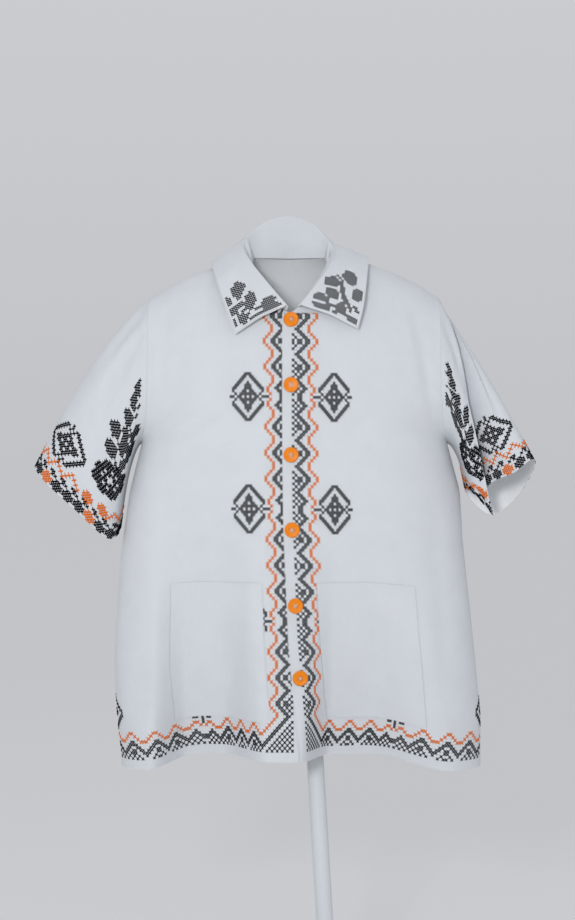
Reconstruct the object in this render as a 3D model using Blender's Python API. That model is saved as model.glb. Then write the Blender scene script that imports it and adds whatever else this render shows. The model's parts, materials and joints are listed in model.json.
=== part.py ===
"""Embroidered vyshyvanka shirt, buttoned up, on a plain garment stand.

Sizes are in millimetres and become metres in world_point. The shirt is laid out in its own
frame: x to the right as seen from the front, y to the back, z up from the level of the hem.
The model's origin is under the middle of the stand's foot.
"""
import math

import bmesh
import bpy
import numpy as np

MM = 0.001

# Where the shirt's frame lies in the model: its middle, and the hem above the floor.
SHIRT_X = -50.5
HEM_HEIGHT = 360.0

# Cloth
WALL = 1.3
COLLAR_WALL = 1.8
SEAM_GAP = 0.4
SLEEVE_GAP = 0.55
COLLAR_GAP = 1.1
LAYER_GAP = 0.7

# Heights on the body, above the hem
ARMPIT = 454.0
CAP_START = 545.0
FRONT_NECK = 632.0
NECK_CORNER = 716.0
NECK_MIDDLE = -5.0
NECK_HALF_WIDTH = 61.0
NECK_POWER = 1.6
NECK_CENTRE = (-5.0, 0.0, 760.0)
TUCKED_CORNER = 6.0

# height, left side, right side, front depth, back depth
BODY = (
    (0, -241, 264, 86, 84),
    (66, -247, 264, 86, 84),
    (148, -252, 257, 86, 83),
    (233, -247, 248, 86, 82),
    (317, -240, 239, 87, 82),
    (386, -230, 235, 88, 82),
    (454, -213, 217, 88, 80),
    (480, -204, 208, 87, 78),
    (527, -201, 203, 84, 76),
    (599, -201, 203, 80, 70),
    (735, -203, 206, 76, 64),
)
SECTION_POWER = 2.4
CAP_POWER = 2.2
ARMHOLE_HALF_DEPTH = 60.0
ARMHOLE_BLEND = 4.0

# x, height of the shoulder line
SHOULDER = (
    (-203, 657), (-148, 688), (-111, 702), (-66, 716), (-5, 732), (56, 716),
    (102, 708), (141, 694), (180, 675), (206, 657),
)

# The front edge of the layer on top: height, x
EDGE = ((0, 9), (36, 8), (104, 0), (186, -7), (335, -13.5), (437, -15), (640, -15))
UNDERLAP = 25.0

# Soft troughs in the cloth: side, x of their four edges at the hem, the same at their top,
# depth at the hem, height where they end, how fast they fade
TROUGHS = (
    ("front", (-200, -146, -100, -32), (-186, -150, -110, -60), 74, 470, 1.6),
    ("front", (6, 50, 98, 226), (20, 60, 90, 150), 74, 400, 2.0),
    ("back", (-190, -140, -110, -50), (-170, -140, -120, -80), 52, 430, 1.7),
    ("back", (-46, 12, 40, 96), (-30, 5, 25, 60), 60, 380, 1.8),
    ("back", (104, 150, 176, 222), (110, 150, 160, 200), 44, 450, 1.6),
)

# Rows of the body panels above the hem, and how many run on from the armpit to the top
LOWER_ROWS = (0.0, 0.03, 0.08, 0.125, 0.21, 0.28, 0.35, 0.42, 0.49, 0.56, 0.64, 0.72, 0.81, 0.91)
CAP_ROWS = 11
# Columns from a front edge: steps in millimetres, then shares of the way to the neck's corner,
# then shares of the way from there to the side
NEAR_COLUMNS = (0.0, 8.0, 16.0, 25.0)
NECK_COLUMNS = {"left": (0.5, 0.75, 1.0), "right": (0.3, 0.65, 1.0), "back": (0.33, 0.66, 1.0)}
SHOULDER_COLUMNS = (0.14, 0.28, 0.42, 0.55, 0.67, 0.78, 0.87, 0.94, 0.975, 1.0)
# Weight of the row below in the normals of the top row
TOP_BLEND = 0.5

# Pockets: first and last lower row, first and last front column
POCKET_ROWS = (3, 9)
POCKET_LEFT_COLUMNS = (4, 10)
POCKET_RIGHT_COLUMNS = (4, 10)
POCKET_WALL = 1.2

# Cuffs, round from the underarm over the front: share of the ring, x, y, z
CUFF_LEFT = (
    (0.000, -244, 4, 333), (0.125, -259, -30, 321), (0.250, -303, -50, 363), (0.375, -346, -42, 402),
    (0.500, -362, -8, 422), (0.625, -344, 26, 420), (0.750, -300, 40, 392), (0.875, -258, 28, 352),
)
CUFF_RIGHT = (
    (0.00, 244, 10, 388), (0.10, 248, -42, 386), (0.22, 262, -60, 369), (0.34, 274, -66, 354),
    (0.39, 262, -48, 378), (0.44, 272, -66, 399), (0.50, 298, -98, 413), (0.56, 323, -94, 431),
    (0.62, 331, -56, 417), (0.74, 313, -8, 376), (0.86, 284, 14, 353), (0.94, 258, 20, 368),
)
SLEEVE_ROWS = 11
SLEEVE_BULGE = {-1: 15.0, 1: 9.0}
UNDERARM_BULGE = 8.0
# Directions of the two bulges: out to the side, up
CAP_LIFT = (0.82, 0.57)
UNDERARM_LIFT = (1.0, -0.3)
FOLDED_STRETCH = (0.27, 0.6)
# side, share of the ring at the armhole, share at the cuff, half width, start and end down
# the sleeve, height
SLEEVE_FOLDS = (
    (1, 0.43, 0.34, 0.06, 0.0, 1.0, 8.0),
    (1, 0.49, 0.39, 0.05, 0.04, 1.1, -13.0),
    (-1, 0.41, 0.38, 0.05, 0.0, 0.4, -4.0),
    (-1, 0.33, 0.28, 0.05, 0.03, 0.5, -5.0),
)

# Collar, from the front end round to the middle of the back: x of its seam on the neckline,
# roll line, outer edge
COLLAR_LEFT_FRONT = (
    (-9, -9, -82, 641, -79, -84, 601),
    (-25, -28, -77, 663, -91, -81, 634),
    (-52, -60, -47, 706, -106, -56, 677),
    (-64, -71, -6, 735, -114, -6, 709),
)
COLLAR_BACK = (
    (-48, -57, 22, 757, -96, 42, 710),
    (-26, -36, 33, 772, -60, 56, 711),
    (-4, -4, 37, 779, -2, 59, 717),
    (18, 29, 33, 767, 57, 56, 712),
    (40, 45, 22, 750, 90, 42, 711),
)
COLLAR_RIGHT_FRONT = (
    (54, 57, -6, 729, 105, -6, 716),
    (44, 53, -45, 704, 102, -56, 684),
    (22, 30, -77, 667, 96, -81, 641),
    (9, 10, -82, 642, 88, -84, 608),
)
COLLAR_COLUMNS = 37
# Points beside the roll line and in the middle of the fall: outward, upward
STAND_TOP = (-2.6, -2.2)
FALL_TOP = (3.2, -2.0)
CROWN = (1.5, 2.5)
# How far the row above the seam follows it
SEAM_FOLLOW = 0.8

# Buttons: height above the hem, along the line beside the edge of the top layer
BUTTON_HEIGHTS = (621, 532, 437, 335, 232, 134)
BUTTON_FROM_EDGE = 12.0
BUTTON_RADIUS = 10.5
BUTTON_SIDES = 20
BUTTON_SEAT = 0.9
# radius share, height of the button's turned profile
BUTTON_PROFILE = ((0.93, 0.0), (1.0, 1.2), (0.97, 2.9), (0.84, 3.6), (0.70, 2.9), (0.40, 2.5))

# Stand
POLE_RADIUS = 12.0
POLE_Y = 30.0
POLE_LEAN = 0.0569
POLE_TOP = 595.6
POLE_X_AT_HEM = 30.0
POLE_SIDES = 20
POLE_RINGS = 13
PART_GAP = 0.3
FOOT_SIDES = 56
# radius, height of the foot's turned profile
FOOT_PROFILE = ((147, 0), (150, 3), (150, 9), (146, 12), (30, 14), (19, 18), (17, 44), (15, 46))
# Shoulder bar: x, y, height of its middle
BAR_PATH = (
    (-188, 0, 655), (-148, 0, 677), (-111, 0, 691), (-78, 6, 688), (-42, 20, 640), (-4, 30, 604),
    (42, 20, 640), (76, 6, 690), (102, 0, 697), (141, 0, 683), (180, 0, 663), (190, 0, 656),
)
BAR_HALF_DEPTH = 10.0
BAR_HALF_HEIGHT = 8.0
BAR_SIDES = 12
BAR_END = 0.75


def smooth(t):
    """0 below 0, 1 above 1, soft between."""
    t = np.clip(t, 0.0, 1.0)
    return t * t * (3.0 - 2.0 * t)


def column(table, place, value):
    """Column number place of a table, read at value of its first column."""
    return np.interp(value, [row[0] for row in table], [row[place] for row in table])


def side_x(side, z):
    return column(BODY, 1 if side < 0 else 2, z)


def edge_x(z):
    return column(EDGE, 1, z)


def shoulder_z(x):
    return column(SHOULDER, 1, x)


def hem_z(x):
    """The hem dips towards the side seams."""
    return 19.0 - 17.0 * smooth((abs(x) - 110.0) / 110.0)


def neck_z(x, face):
    """Height of the neckline on the front or the back."""
    share = min(abs(x - NECK_MIDDLE) / NECK_HALF_WIDTH, 1.0)
    if face == "front":
        return FRONT_NECK + (NECK_CORNER - FRONT_NECK) * share ** NECK_POWER
    return NECK_CORNER


def top_z(x, face):
    if abs(x - NECK_MIDDLE) < NECK_HALF_WIDTH:
        return neck_z(x, face)
    return shoulder_z(x)


def armhole_depth(z):
    """Half the armhole's width from front to back, before the cap closes it."""
    share = np.clip((CAP_START - z) / (CAP_START - ARMPIT), 0.0, 1.0)
    return ARMHOLE_HALF_DEPTH * math.sqrt(max(0.0, 1.0 - share ** CAP_POWER))


def trough_depth(face, x, z):
    depth = 0.0
    for owner, low, high, amount, end, power in TROUGHS:
        if owner != face:
            continue
        rise = min(max(z / end, 0.0), 1.0)
        a, b, c, d = (low[k] + (high[k] - low[k]) * rise for k in range(4))
        depth += amount * (1.0 - rise) ** power * smooth((x - a) / (b - a)) * smooth((d - x) / (d - c))
    return depth


def body_y(x, z, face):
    """Depth of the body's outer face at x and height z."""
    left = side_x(-1, z)
    right = side_x(1, z)
    share = min(abs((2.0 * x - left - right) / (right - left)), 1.0)
    bow = (1.0 - share ** SECTION_POWER) ** (1.0 / SECTION_POWER)
    open_side = armhole_depth(z) if z > ARMPIT else 0.0
    middle = column(BODY, 3 if face == "front" else 4, z)
    closing = 1.0
    if z > CAP_START:
        rise = min((z - CAP_START) / (shoulder_z(x) - CAP_START), 1.0)
        closing = math.sqrt(max(0.0, 1.0 - rise ** CAP_POWER))
    power = ARMHOLE_BLEND
    curved = (open_side ** power * (1.0 - bow ** power) + (middle * bow) ** power) ** (1.0 / power)
    depth = curved * closing - trough_depth(face, x, z)
    return -depth if face == "front" else depth


def body_column(place, face, tuck=0.0):
    """One column of outer points from hem to top, where place gives its x at a height."""
    low = hem_z(place(0.0))
    top = top_z(place(NECK_CORNER), face) - tuck
    heights = [low + (ARMPIT - low) * share for share in LOWER_ROWS]
    for k in range(CAP_ROWS + 1):
        heights.append(ARMPIT + (top - ARMPIT) * (1.0 - math.cos(math.pi * k / CAP_ROWS)) / 2.0)
    return [(place(z), body_y(place(z), z, face), z) for z in heights]


def columns_past(corner, panel):
    """Shares of the way to the side: some up to the neck's corner, the rest beyond it."""
    beyond = [corner + (1.0 - corner) * share for share in SHOULDER_COLUMNS]
    return [corner * share for share in NECK_COLUMNS[panel]] + beyond


def front_grid(side, start, tucked):
    """Outer points of a front, rows upward and columns from its edge to the side seam."""

    def near_end(z):
        return edge_x(z) + start + side * NEAR_COLUMNS[-1]

    corner_x = NECK_MIDDLE + side * NECK_HALF_WIDTH
    span = side_x(side, NECK_CORNER) - near_end(NECK_CORNER)
    columns = []
    for number, step in enumerate(NEAR_COLUMNS):
        tuck = tucked * max(0.0, 1.0 - number / 2.0)
        columns.append(body_column(lambda z: edge_x(z) + start + side * step, "front", tuck))
    panel = "left" if side < 0 else "right"
    for share in columns_past((corner_x - near_end(NECK_CORNER)) / span, panel):
        columns.append(
            body_column(lambda z: near_end(z) + (side_x(side, z) - near_end(z)) * share, "front")
        )
    return np.array(columns).transpose(1, 0, 2)


def back_grid():
    """Outer points of the back, columns from the left side seam to the right one."""

    def middle(z):
        return (side_x(-1, z) + side_x(1, z)) / 2.0 + (NECK_MIDDLE - 2.0) * z / NECK_CORNER

    columns = [body_column(middle, "back")]
    for side in (-1, 1):
        corner_x = NECK_MIDDLE + side * NECK_HALF_WIDTH
        start = middle(NECK_CORNER)
        corner = (corner_x - start) / (side_x(side, NECK_CORNER) - start)
        for share in columns_past(corner, "back"):
            column_points = body_column(lambda z: middle(z) + (side_x(side, z) - middle(z)) * share, "back")
            if side < 0:
                columns.insert(0, column_points)
            else:
                columns.append(column_points)
    return np.array(columns).transpose(1, 0, 2)


def normals_of(grid, closed=False, flip=False):
    """Unit normals of a grid of points, from the differences along its rows and columns."""
    if closed:
        across = np.roll(grid, -1, axis=1) - np.roll(grid, 1, axis=1)
    else:
        across = np.gradient(grid, axis=1)
    along = np.gradient(grid, axis=0)
    normal = np.cross(across, along)
    length = np.linalg.norm(normal, axis=2, keepdims=True)
    normal = normal / np.maximum(length, 1e-9)
    return -normal if flip else normal


def shared_normals(first, second):
    """Where two panels meet, one normal halfway between theirs."""
    mean = first + second
    return mean / np.linalg.norm(mean, axis=-1, keepdims=True)


def parted(points, away_from, gap):
    """Border points drawn back by gap, towards their own panel's next points."""
    step = away_from - points
    return points + step / np.linalg.norm(step, axis=-1, keepdims=True) * gap


def world_point(point):
    return ((point[0] + SHIRT_X) * MM, point[1] * MM, (point[2] + HEM_HEIGHT) * MM)


def material(name, colour, roughness, metallic=0.0):
    made = bpy.data.materials.new(name)
    made.use_nodes = True
    shader = made.node_tree.nodes["Principled BSDF"]
    shader.inputs["Base Color"].default_value = (*colour, 1.0)
    shader.inputs["Roughness"].default_value = roughness
    shader.inputs["Metallic"].default_value = metallic
    return made


def add_object(name, mesh_faces, points, look):
    mesh = bpy.data.meshes.new(name)
    mesh.from_pydata([world_point(p) for p in points], [], mesh_faces)
    mesh.validate()
    body = bmesh.new()
    body.from_mesh(mesh)
    bmesh.ops.recalc_face_normals(body, faces=body.faces)
    if body.calc_volume(signed=True) < 0.0:
        bmesh.ops.reverse_faces(body, faces=body.faces)
    body.to_mesh(mesh)
    body.free()
    mesh.materials.append(look)
    mesh.shade_smooth()
    mesh.set_sharp_from_angle(angle=math.radians(50))
    made = bpy.data.objects.new(name, mesh)
    bpy.context.collection.objects.link(made)
    return made


def wall(name, outer, normal, thickness, look, closed=False):
    """A cloth wall: the grid of outer points, the same points moved in, and the rims between."""
    rows, count = outer.shape[:2]
    inner = outer - normal * thickness
    points = np.concatenate([outer.reshape(-1, 3), inner.reshape(-1, 3)])
    half = rows * count

    def at(row, place, side):
        return side * half + row * count + place % count

    faces = []
    last = count if closed else count - 1
    for row in range(rows - 1):
        for place in range(last):
            for side in (0, 1):
                a = at(row, place, side)
                b = at(row, place + 1, side)
                c = at(row + 1, place + 1, side)
                d = at(row + 1, place, side)
                faces += [(a, b, c), (a, c, d)] if side == 0 else [(a, c, b), (a, d, c)]
    for row in (0, rows - 1):
        for place in range(last):
            a, b = at(row, place, 0), at(row, place + 1, 0)
            c, d = at(row, place + 1, 1), at(row, place, 1)
            faces.append((a, b, c) if row else (a, c, b))
            faces.append((a, c, d) if row else (a, d, c))
    if not closed:
        for place in (0, count - 1):
            for row in range(rows - 1):
                a, b = at(row, place, 0), at(row + 1, place, 0)
                c, d = at(row + 1, place, 1), at(row, place, 1)
                faces.append((a, b, c) if place == 0 else (a, c, b))
                faces.append((a, c, d) if place == 0 else (a, d, c))
    return add_object(name, faces, points, look)


def turned(name, profile, sides, frame, look):
    """A solid of revolution from a profile of radius and height. frame places its points."""
    points = []
    for radius, height in profile:
        for k in range(sides):
            angle = 2.0 * math.pi * k / sides
            points.append(frame(radius * math.cos(angle), radius * math.sin(angle), height))
    faces = []
    for ring in range(len(profile) - 1):
        for k in range(sides):
            a = ring * sides + k
            b = ring * sides + (k + 1) % sides
            faces.append((a, b, b + sides, a + sides))
    faces.append(tuple(range(sides)))
    faces.append(tuple((len(profile) - 1) * sides + k for k in range(sides)))
    return add_object(name, faces, points, look)


def ring_spline(table, shares):
    """Points of a closed smooth curve through a table's rows, at shares of the way round."""
    knots = np.array(table, float)
    count = len(knots)
    times = np.append(knots[:, 0], 1.0)
    places = np.vstack([knots[:, 1:], knots[:1, 1:]])
    found = []
    for share in shares:
        span = min(np.searchsorted(times, share, side="right") - 1, count - 1)
        p0, p1, p2, p3 = (places[(span + k) % count] for k in (-1, 0, 1, 2))
        u = (share - times[span]) / (times[span + 1] - times[span])
        found.append(
            0.5 * (2 * p1 + (p2 - p0) * u + (2 * p0 - 5 * p1 + 4 * p2 - p3) * u ** 2
                   + (3 * p1 - p0 - 3 * p2 + p3) * u ** 3)
        )
    return np.array(found)


def body_panels():
    """Outer grids and normals of the two fronts and the back, with their shared borders."""
    left = front_grid(-1, UNDERLAP, 0.0)
    right = front_grid(1, 0.0, TUCKED_CORNER)
    back = back_grid()
    n_left = normals_of(left, flip=True)
    n_right = normals_of(right)
    n_back = normals_of(back, flip=True)
    seam = len(LOWER_ROWS) + 1
    for grid, normal, own, place in ((left, n_left, -1, 0), (right, n_right, -1, -1)):
        both = shared_normals(normal[:seam, own], n_back[:seam, place])
        normal[:seam, own] = both
        n_back[:seam, place] = both
    for normal in (n_left, n_right, n_back):
        normal[-1] = shared_normals(normal[-1], normal[-2] * TOP_BLEND)
    shoulder = len(SHOULDER_COLUMNS) + 1
    both = shared_normals(n_right[-1, -shoulder:], n_back[-1, -shoulder:])
    n_right[-1, -shoulder:] = both
    n_back[-1, -shoulder:] = both
    both = shared_normals(n_left[-1, -shoulder:], n_back[-1, :shoulder][::-1])
    n_left[-1, -shoulder:] = both
    n_back[-1, :shoulder] = both[::-1]
    return left, right, back, n_left, n_right, n_back


def armhole_ring(front, back, n_front, n_back, back_place):
    """The armhole's points and normals: up the front edge, over the tip and down the back."""
    first = len(LOWER_ROWS)
    points = np.concatenate([front[first:, -1], back[first:, back_place][::-1][1:-1]])
    normals = np.concatenate([n_front[first:, -1], n_back[first:, back_place][::-1][1:-1]])
    return points, normals


def with_middles(ring, normals):
    """The ring with a point added on each side that lies in the folded stretch, and all shares."""
    count = len(ring)
    places, directions, shares = [], [], []
    for k in range(count):
        places.append(ring[k])
        directions.append(normals[k])
        shares.append(k / count)
        if FOLDED_STRETCH[0] <= k / count < FOLDED_STRETCH[1]:
            after = (k + 1) % count
            places.append((ring[k] + ring[after]) / 2.0)
            directions.append(shared_normals(normals[k], normals[after]))
            shares.append((k + 0.5) / count)
    return np.array(places), np.array(directions), np.array(shares)


def sleeve_grid(ring, shares, cuff, side):
    """Rings of a sleeve from the armhole to the cuff, with the cap's fullness and its folds."""
    target = ring_spline(cuff, shares)
    centre = (ring.mean(axis=0) + target.mean(axis=0)) / 2.0
    axis = target.mean(axis=0) - ring.mean(axis=0)
    axis = axis / np.linalg.norm(axis)
    rings = []
    for row in range(SLEEVE_ROWS + 1):
        t = row / SLEEVE_ROWS
        points = ring + (target - ring) * t
        top = np.clip(np.sin(np.pi * shares), 0.0, 1.0) ** 2
        lift = SLEEVE_BULGE[side] * math.sin(math.pi * t ** 0.8)
        points = points + np.outer(top * lift, (side * CAP_LIFT[0], 0.0, CAP_LIFT[1]))
        under = UNDERARM_BULGE * math.sin(math.pi * math.sqrt(t))
        direction = (side * UNDERARM_LIFT[0], 0.0, UNDERARM_LIFT[1])
        points = points + np.outer((1.0 - top) * under, direction)
        outward = points - centre
        outward = outward - np.outer(outward @ axis, axis)
        outward = outward / np.linalg.norm(outward, axis=1, keepdims=True)
        for owner, high, low, half, start, end, height in SLEEVE_FOLDS:
            if owner != side or not start < t < end:
                continue
            here = high + (low - high) * t
            near = np.clip(1.0 - abs(shares - here) / half, 0.0, 1.0)
            along = math.sin(math.pi * ((t - start) / (end - start)) ** 0.7)
            points = points + outward * (smooth(near) * height * along)[:, None]
        rings.append(points)
    return np.array(rings)


def make_shirt(cloth):
    left, right, back, n_left, n_right, n_back = body_panels()
    seam = len(LOWER_ROWS) + 1

    armholes = {}
    armholes["left"] = armhole_ring(left, back, n_left, n_back, 0)
    armholes["right"] = armhole_ring(right, back, n_right, n_back, -1)

    lift = np.zeros(right.shape[1])
    lift[: len(NEAR_COLUMNS)] = WALL + LAYER_GAP
    lift[len(NEAR_COLUMNS)] = WALL + LAYER_GAP
    lift[len(NEAR_COLUMNS) + 1] = 0.5 * (WALL + LAYER_GAP)
    right_top = right + n_right * lift[None, :, None]

    pockets(left, right_top, n_left, n_right, cloth)

    for grid in (left, right_top, back):
        grid[-1] = parted(grid[-1], grid[-2], SEAM_GAP / 2.0)
    left[:seam, -1] = parted(left[:seam, -1], left[:seam, -2], SEAM_GAP / 2.0)
    right_top[:seam, -1] = parted(right_top[:seam, -1], right_top[:seam, -2], SEAM_GAP / 2.0)
    for place, beside in ((0, 1), (-1, -2)):
        back[:seam, place] = parted(back[:seam, place], back[:seam, beside], SEAM_GAP / 2.0)

    wall("front_right_side", left[:, ::-1], n_left[:, ::-1], WALL, cloth)
    wall("front_left_side", right_top, n_right, WALL, cloth)
    wall("back", back[:, ::-1], n_back[:, ::-1], WALL, cloth)

    for name, cuff, side in (("sleeve_right", CUFF_LEFT, -1), ("sleeve_left", CUFF_RIGHT, 1)):
        ring, ring_normals = armholes["left" if side < 0 else "right"]
        ring, ring_normals, shares = with_middles(ring, ring_normals)
        grid = sleeve_grid(ring, shares, cuff, side)
        normals = normals_of(grid, closed=True, flip=side > 0)
        shared = smooth(np.sin(np.pi * shares) ** 2 / 0.5)[:, None]
        mixed = normals[0] * (1.0 - shared) + ring_normals * shared
        normals[0] = mixed / np.linalg.norm(mixed, axis=1, keepdims=True)
        grid[0] = grid[0] + np.array((side * SLEEVE_GAP, 0.0, 0.0))
        wall(name, grid, normals, WALL, cloth, closed=True)
    return [
        np.hstack([grid[-1] - normal[-1] * WALL, normal[-1]])
        for grid, normal in ((left, n_left), (back, n_back), (right_top, n_right))
    ]


def pockets(left, right, n_left, n_right, cloth):
    """Patch pockets, made from the fronts' own points moved out."""
    first, last = POCKET_ROWS
    for name, grid, normal, places in (
        ("pocket_right", left, n_left, POCKET_LEFT_COLUMNS),
        ("pocket_left", right, n_right, POCKET_RIGHT_COLUMNS),
    ):
        rows = slice(first, last + 1)
        span = slice(places[0], places[1] + 1)
        outer = grid[rows, span] + normal[rows, span] * (POCKET_WALL + SEAM_GAP)
        turn = -1 if grid is left else 1
        wall(name, outer[:, ::turn], normal[rows, span][:, ::turn], POCKET_WALL, cloth)


def collar_rows(rims):
    """Seam, roll and edge points and the body's normal across the collar's columns."""
    stations = COLLAR_LEFT_FRONT + COLLAR_BACK + COLLAR_RIGHT_FRONT
    rows = np.array(stations, float)
    found = []
    for step in np.linspace(0.0, len(rows) - 1.0, COLLAR_COLUMNS):
        span = min(int(step), len(rows) - 2)
        u = step - span
        p0, p1, p2, p3 = (rows[min(max(span + k, 0), len(rows) - 1)] for k in (-1, 0, 1, 2))
        row = 0.5 * (2 * p1 + (p2 - p0) * u + (2 * p0 - 5 * p1 + 4 * p2 - p3) * u ** 2
                     + (3 * p1 - p0 - 3 * p2 + p3) * u ** 3)
        corners = (len(COLLAR_LEFT_FRONT) - 0.5, len(COLLAR_LEFT_FRONT + COLLAR_BACK) - 0.5)
        rim = rims[0] if step < corners[0] else rims[1] if step < corners[1] else rims[2]
        order = np.argsort(rim[:, 0])
        seam = np.array([np.interp(row[0], rim[order, 0], rim[order, k]) for k in range(6)])
        found.append((seam[:3], row[1:4], row[4:7], seam[3:]))
    return found


def collar_grid(rims):
    """The collar's points, its seam drawn clear of the body's wall by its own thickness."""
    rows = collar_rows(rims)
    grid = np.array([collar_profile(*row[:3]) for row in rows]).transpose(1, 0, 2)
    body = np.array([row[3] for row in rows])
    away = np.cross(np.gradient(grid[0], axis=0), body)
    away = away / np.linalg.norm(away, axis=1, keepdims=True)
    away = away * np.sign(np.sum(away * (np.array(NECK_CENTRE) - grid[0]), axis=1))[:, None]
    facing = np.sum(normals_of(grid)[:2] * away, axis=2).max(axis=0).clip(0.0, 1.0)
    reach = facing * COLLAR_WALL
    clear = away * (COLLAR_GAP + reach)[:, None]
    grid[0] = grid[0] + clear
    grid[1] = grid[1] + clear * SEAM_FOLLOW
    return grid


def collar_profile(seam, roll, edge):
    """Across the collar: up the stand, over the roll, down the fall to the outer edge."""
    out = edge - seam
    out = out - np.array((0.0, 0.0, out[2]))
    out = out / np.linalg.norm(out)
    beside = [out * offset[0] + np.array((0.0, 0.0, offset[1])) for offset in (STAND_TOP, FALL_TOP, CROWN)]
    stand_top = roll + beside[0]
    fall_top = roll + beside[1]
    crown = (roll + edge) / 2.0 + beside[2]
    return [
        seam, seam * 0.5 + stand_top * 0.5, stand_top, roll, fall_top,
        fall_top * 0.55 + crown * 0.45, crown, crown * 0.5 + edge * 0.5, edge,
    ]


def make_collar(rims, cloth):
    grid = collar_grid(rims)
    normals = normals_of(grid)
    wall("collar", grid, normals, COLLAR_WALL, cloth)


def make_buttons(look):
    for number, height in enumerate(BUTTON_HEIGHTS, 1):
        x = edge_x(height) + BUTTON_FROM_EDGE
        step = 4.0
        across = np.array((2 * step, body_y(x + step, height, "front") - body_y(x - step, height, "front"), 0.0))
        upward = np.array((0.0, body_y(x, height + step, "front") - body_y(x, height - step, "front"), 2 * step))
        across = across / np.linalg.norm(across)
        upward = upward / np.linalg.norm(upward)
        outward = np.cross(across, upward)
        outward = outward / np.linalg.norm(outward)
        upward = np.cross(outward, across)
        seat = np.array((x, body_y(x, height, "front"), height)) + outward * (WALL + LAYER_GAP + BUTTON_SEAT)

        def frame(a, b, c, seat=seat, across=across, upward=upward, outward=outward):
            return tuple(seat + across * a + upward * b + outward * c)

        profile = [(share * BUTTON_RADIUS, rise) for share, rise in BUTTON_PROFILE]
        turned("button_%d" % number, profile, BUTTON_SIDES, frame, look)


def pole_x(z):
    return POLE_X_AT_HEM - POLE_LEAN * z


def make_stand(paint):
    floor = -HEM_HEIGHT
    foot_x = -SHIRT_X

    def foot_frame(a, b, c):
        return (foot_x + a, b, floor + c)

    turned("stand_foot", FOOT_PROFILE, FOOT_SIDES, foot_frame, paint)

    bottom = floor + FOOT_PROFILE[-1][1] + PART_GAP
    rings = [(POLE_RADIUS, z) for z in np.linspace(bottom, POLE_TOP, POLE_RINGS)]

    def pole_frame(a, b, c):
        climb = (c - bottom) / (POLE_TOP - bottom)
        return (pole_x(c) + (foot_x - pole_x(bottom)) * (1 - climb) + a, b + POLE_Y * climb, c)

    turned("stand_pole", rings, POLE_SIDES, pole_frame, paint)
    make_bar(paint)


def make_bar(paint):
    path = np.array(BAR_PATH, float)
    count = BAR_SIDES
    rings = []
    for place, middle in enumerate(path):
        before = path[max(place - 1, 0)]
        after = path[min(place + 1, len(path) - 1)]
        along = after - before
        along = along / np.linalg.norm(along)
        depth = np.array((0.0, 1.0, 0.0))
        depth = depth - along * depth.dot(along)
        depth = depth / np.linalg.norm(depth)
        height = np.cross(along, depth)
        end = BAR_END if place in (0, len(path) - 1) else 1.0
        ring = []
        for k in range(count):
            angle = 2.0 * math.pi * k / count
            ring.append(
                middle + depth * (BAR_HALF_DEPTH * end * math.cos(angle))
                + height * (BAR_HALF_HEIGHT * end * math.sin(angle))
            )
        rings.append(ring)
    points = np.array(rings).reshape(-1, 3)
    faces = []
    for ring in range(len(path) - 1):
        for k in range(count):
            a = ring * count + k
            b = ring * count + (k + 1) % count
            faces.append((a, b, b + count, a + count))
    faces.append(tuple(range(count)))
    faces.append(tuple((len(path) - 1) * count + k for k in range(count)))
    add_object("stand_shoulder_bar", faces, points, paint)


def main():
    for thing in list(bpy.data.objects):
        bpy.data.objects.remove(thing)
    cloth = material("white_linen", (0.66, 0.69, 0.72), 0.85)
    orange = material("orange_plastic", (0.80, 0.24, 0.01), 0.25)
    paint = material("white_paint", (0.64, 0.67, 0.70), 0.35)
    make_collar(make_shirt(cloth), cloth)
    make_buttons(orange)
    make_stand(paint)


main()
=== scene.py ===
"""Looks of the embroidered shirt on its stand.

The cloth is worked out in the shirt's own frame, in millimetres: x to the right as seen from the
front, y to the back, z up from the level of the hem. in_metres places it in the model's frame.
"""
import json
import math

import bmesh
import bpy
import numpy as np
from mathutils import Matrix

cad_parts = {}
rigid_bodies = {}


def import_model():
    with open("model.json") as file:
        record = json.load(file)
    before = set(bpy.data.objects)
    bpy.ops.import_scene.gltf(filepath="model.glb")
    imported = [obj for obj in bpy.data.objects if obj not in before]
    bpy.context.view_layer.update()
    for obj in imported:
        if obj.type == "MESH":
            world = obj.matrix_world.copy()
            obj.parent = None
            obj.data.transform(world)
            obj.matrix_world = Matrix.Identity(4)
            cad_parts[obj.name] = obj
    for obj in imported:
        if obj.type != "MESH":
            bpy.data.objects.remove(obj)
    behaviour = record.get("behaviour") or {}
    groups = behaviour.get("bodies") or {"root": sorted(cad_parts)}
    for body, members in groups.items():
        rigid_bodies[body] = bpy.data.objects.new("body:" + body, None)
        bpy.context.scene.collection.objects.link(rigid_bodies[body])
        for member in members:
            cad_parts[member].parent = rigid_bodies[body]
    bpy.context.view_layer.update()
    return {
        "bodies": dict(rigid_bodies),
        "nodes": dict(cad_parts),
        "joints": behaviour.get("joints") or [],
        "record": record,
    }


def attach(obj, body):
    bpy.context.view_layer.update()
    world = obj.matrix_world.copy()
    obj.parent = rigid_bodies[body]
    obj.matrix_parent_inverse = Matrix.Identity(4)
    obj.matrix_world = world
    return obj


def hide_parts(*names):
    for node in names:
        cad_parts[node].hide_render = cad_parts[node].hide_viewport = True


MM = 0.001

# Where the shirt's frame lies in the model: its middle, and the hem above the floor.
SHIRT_X = -50.5
HEM_HEIGHT = 360.0

# Cloth of the solids, whose outer faces the shells follow
WALL = 1.3
COLLAR_WALL = 1.8
SLEEVE_GAP = 0.15
COLLAR_GAP = 1.1
LAYER_GAP = 0.7
# Cloth of the shells
SHELL = 0.8
COLLAR_SHELL = 1.4
POCKET_SHELL = 0.7

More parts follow.
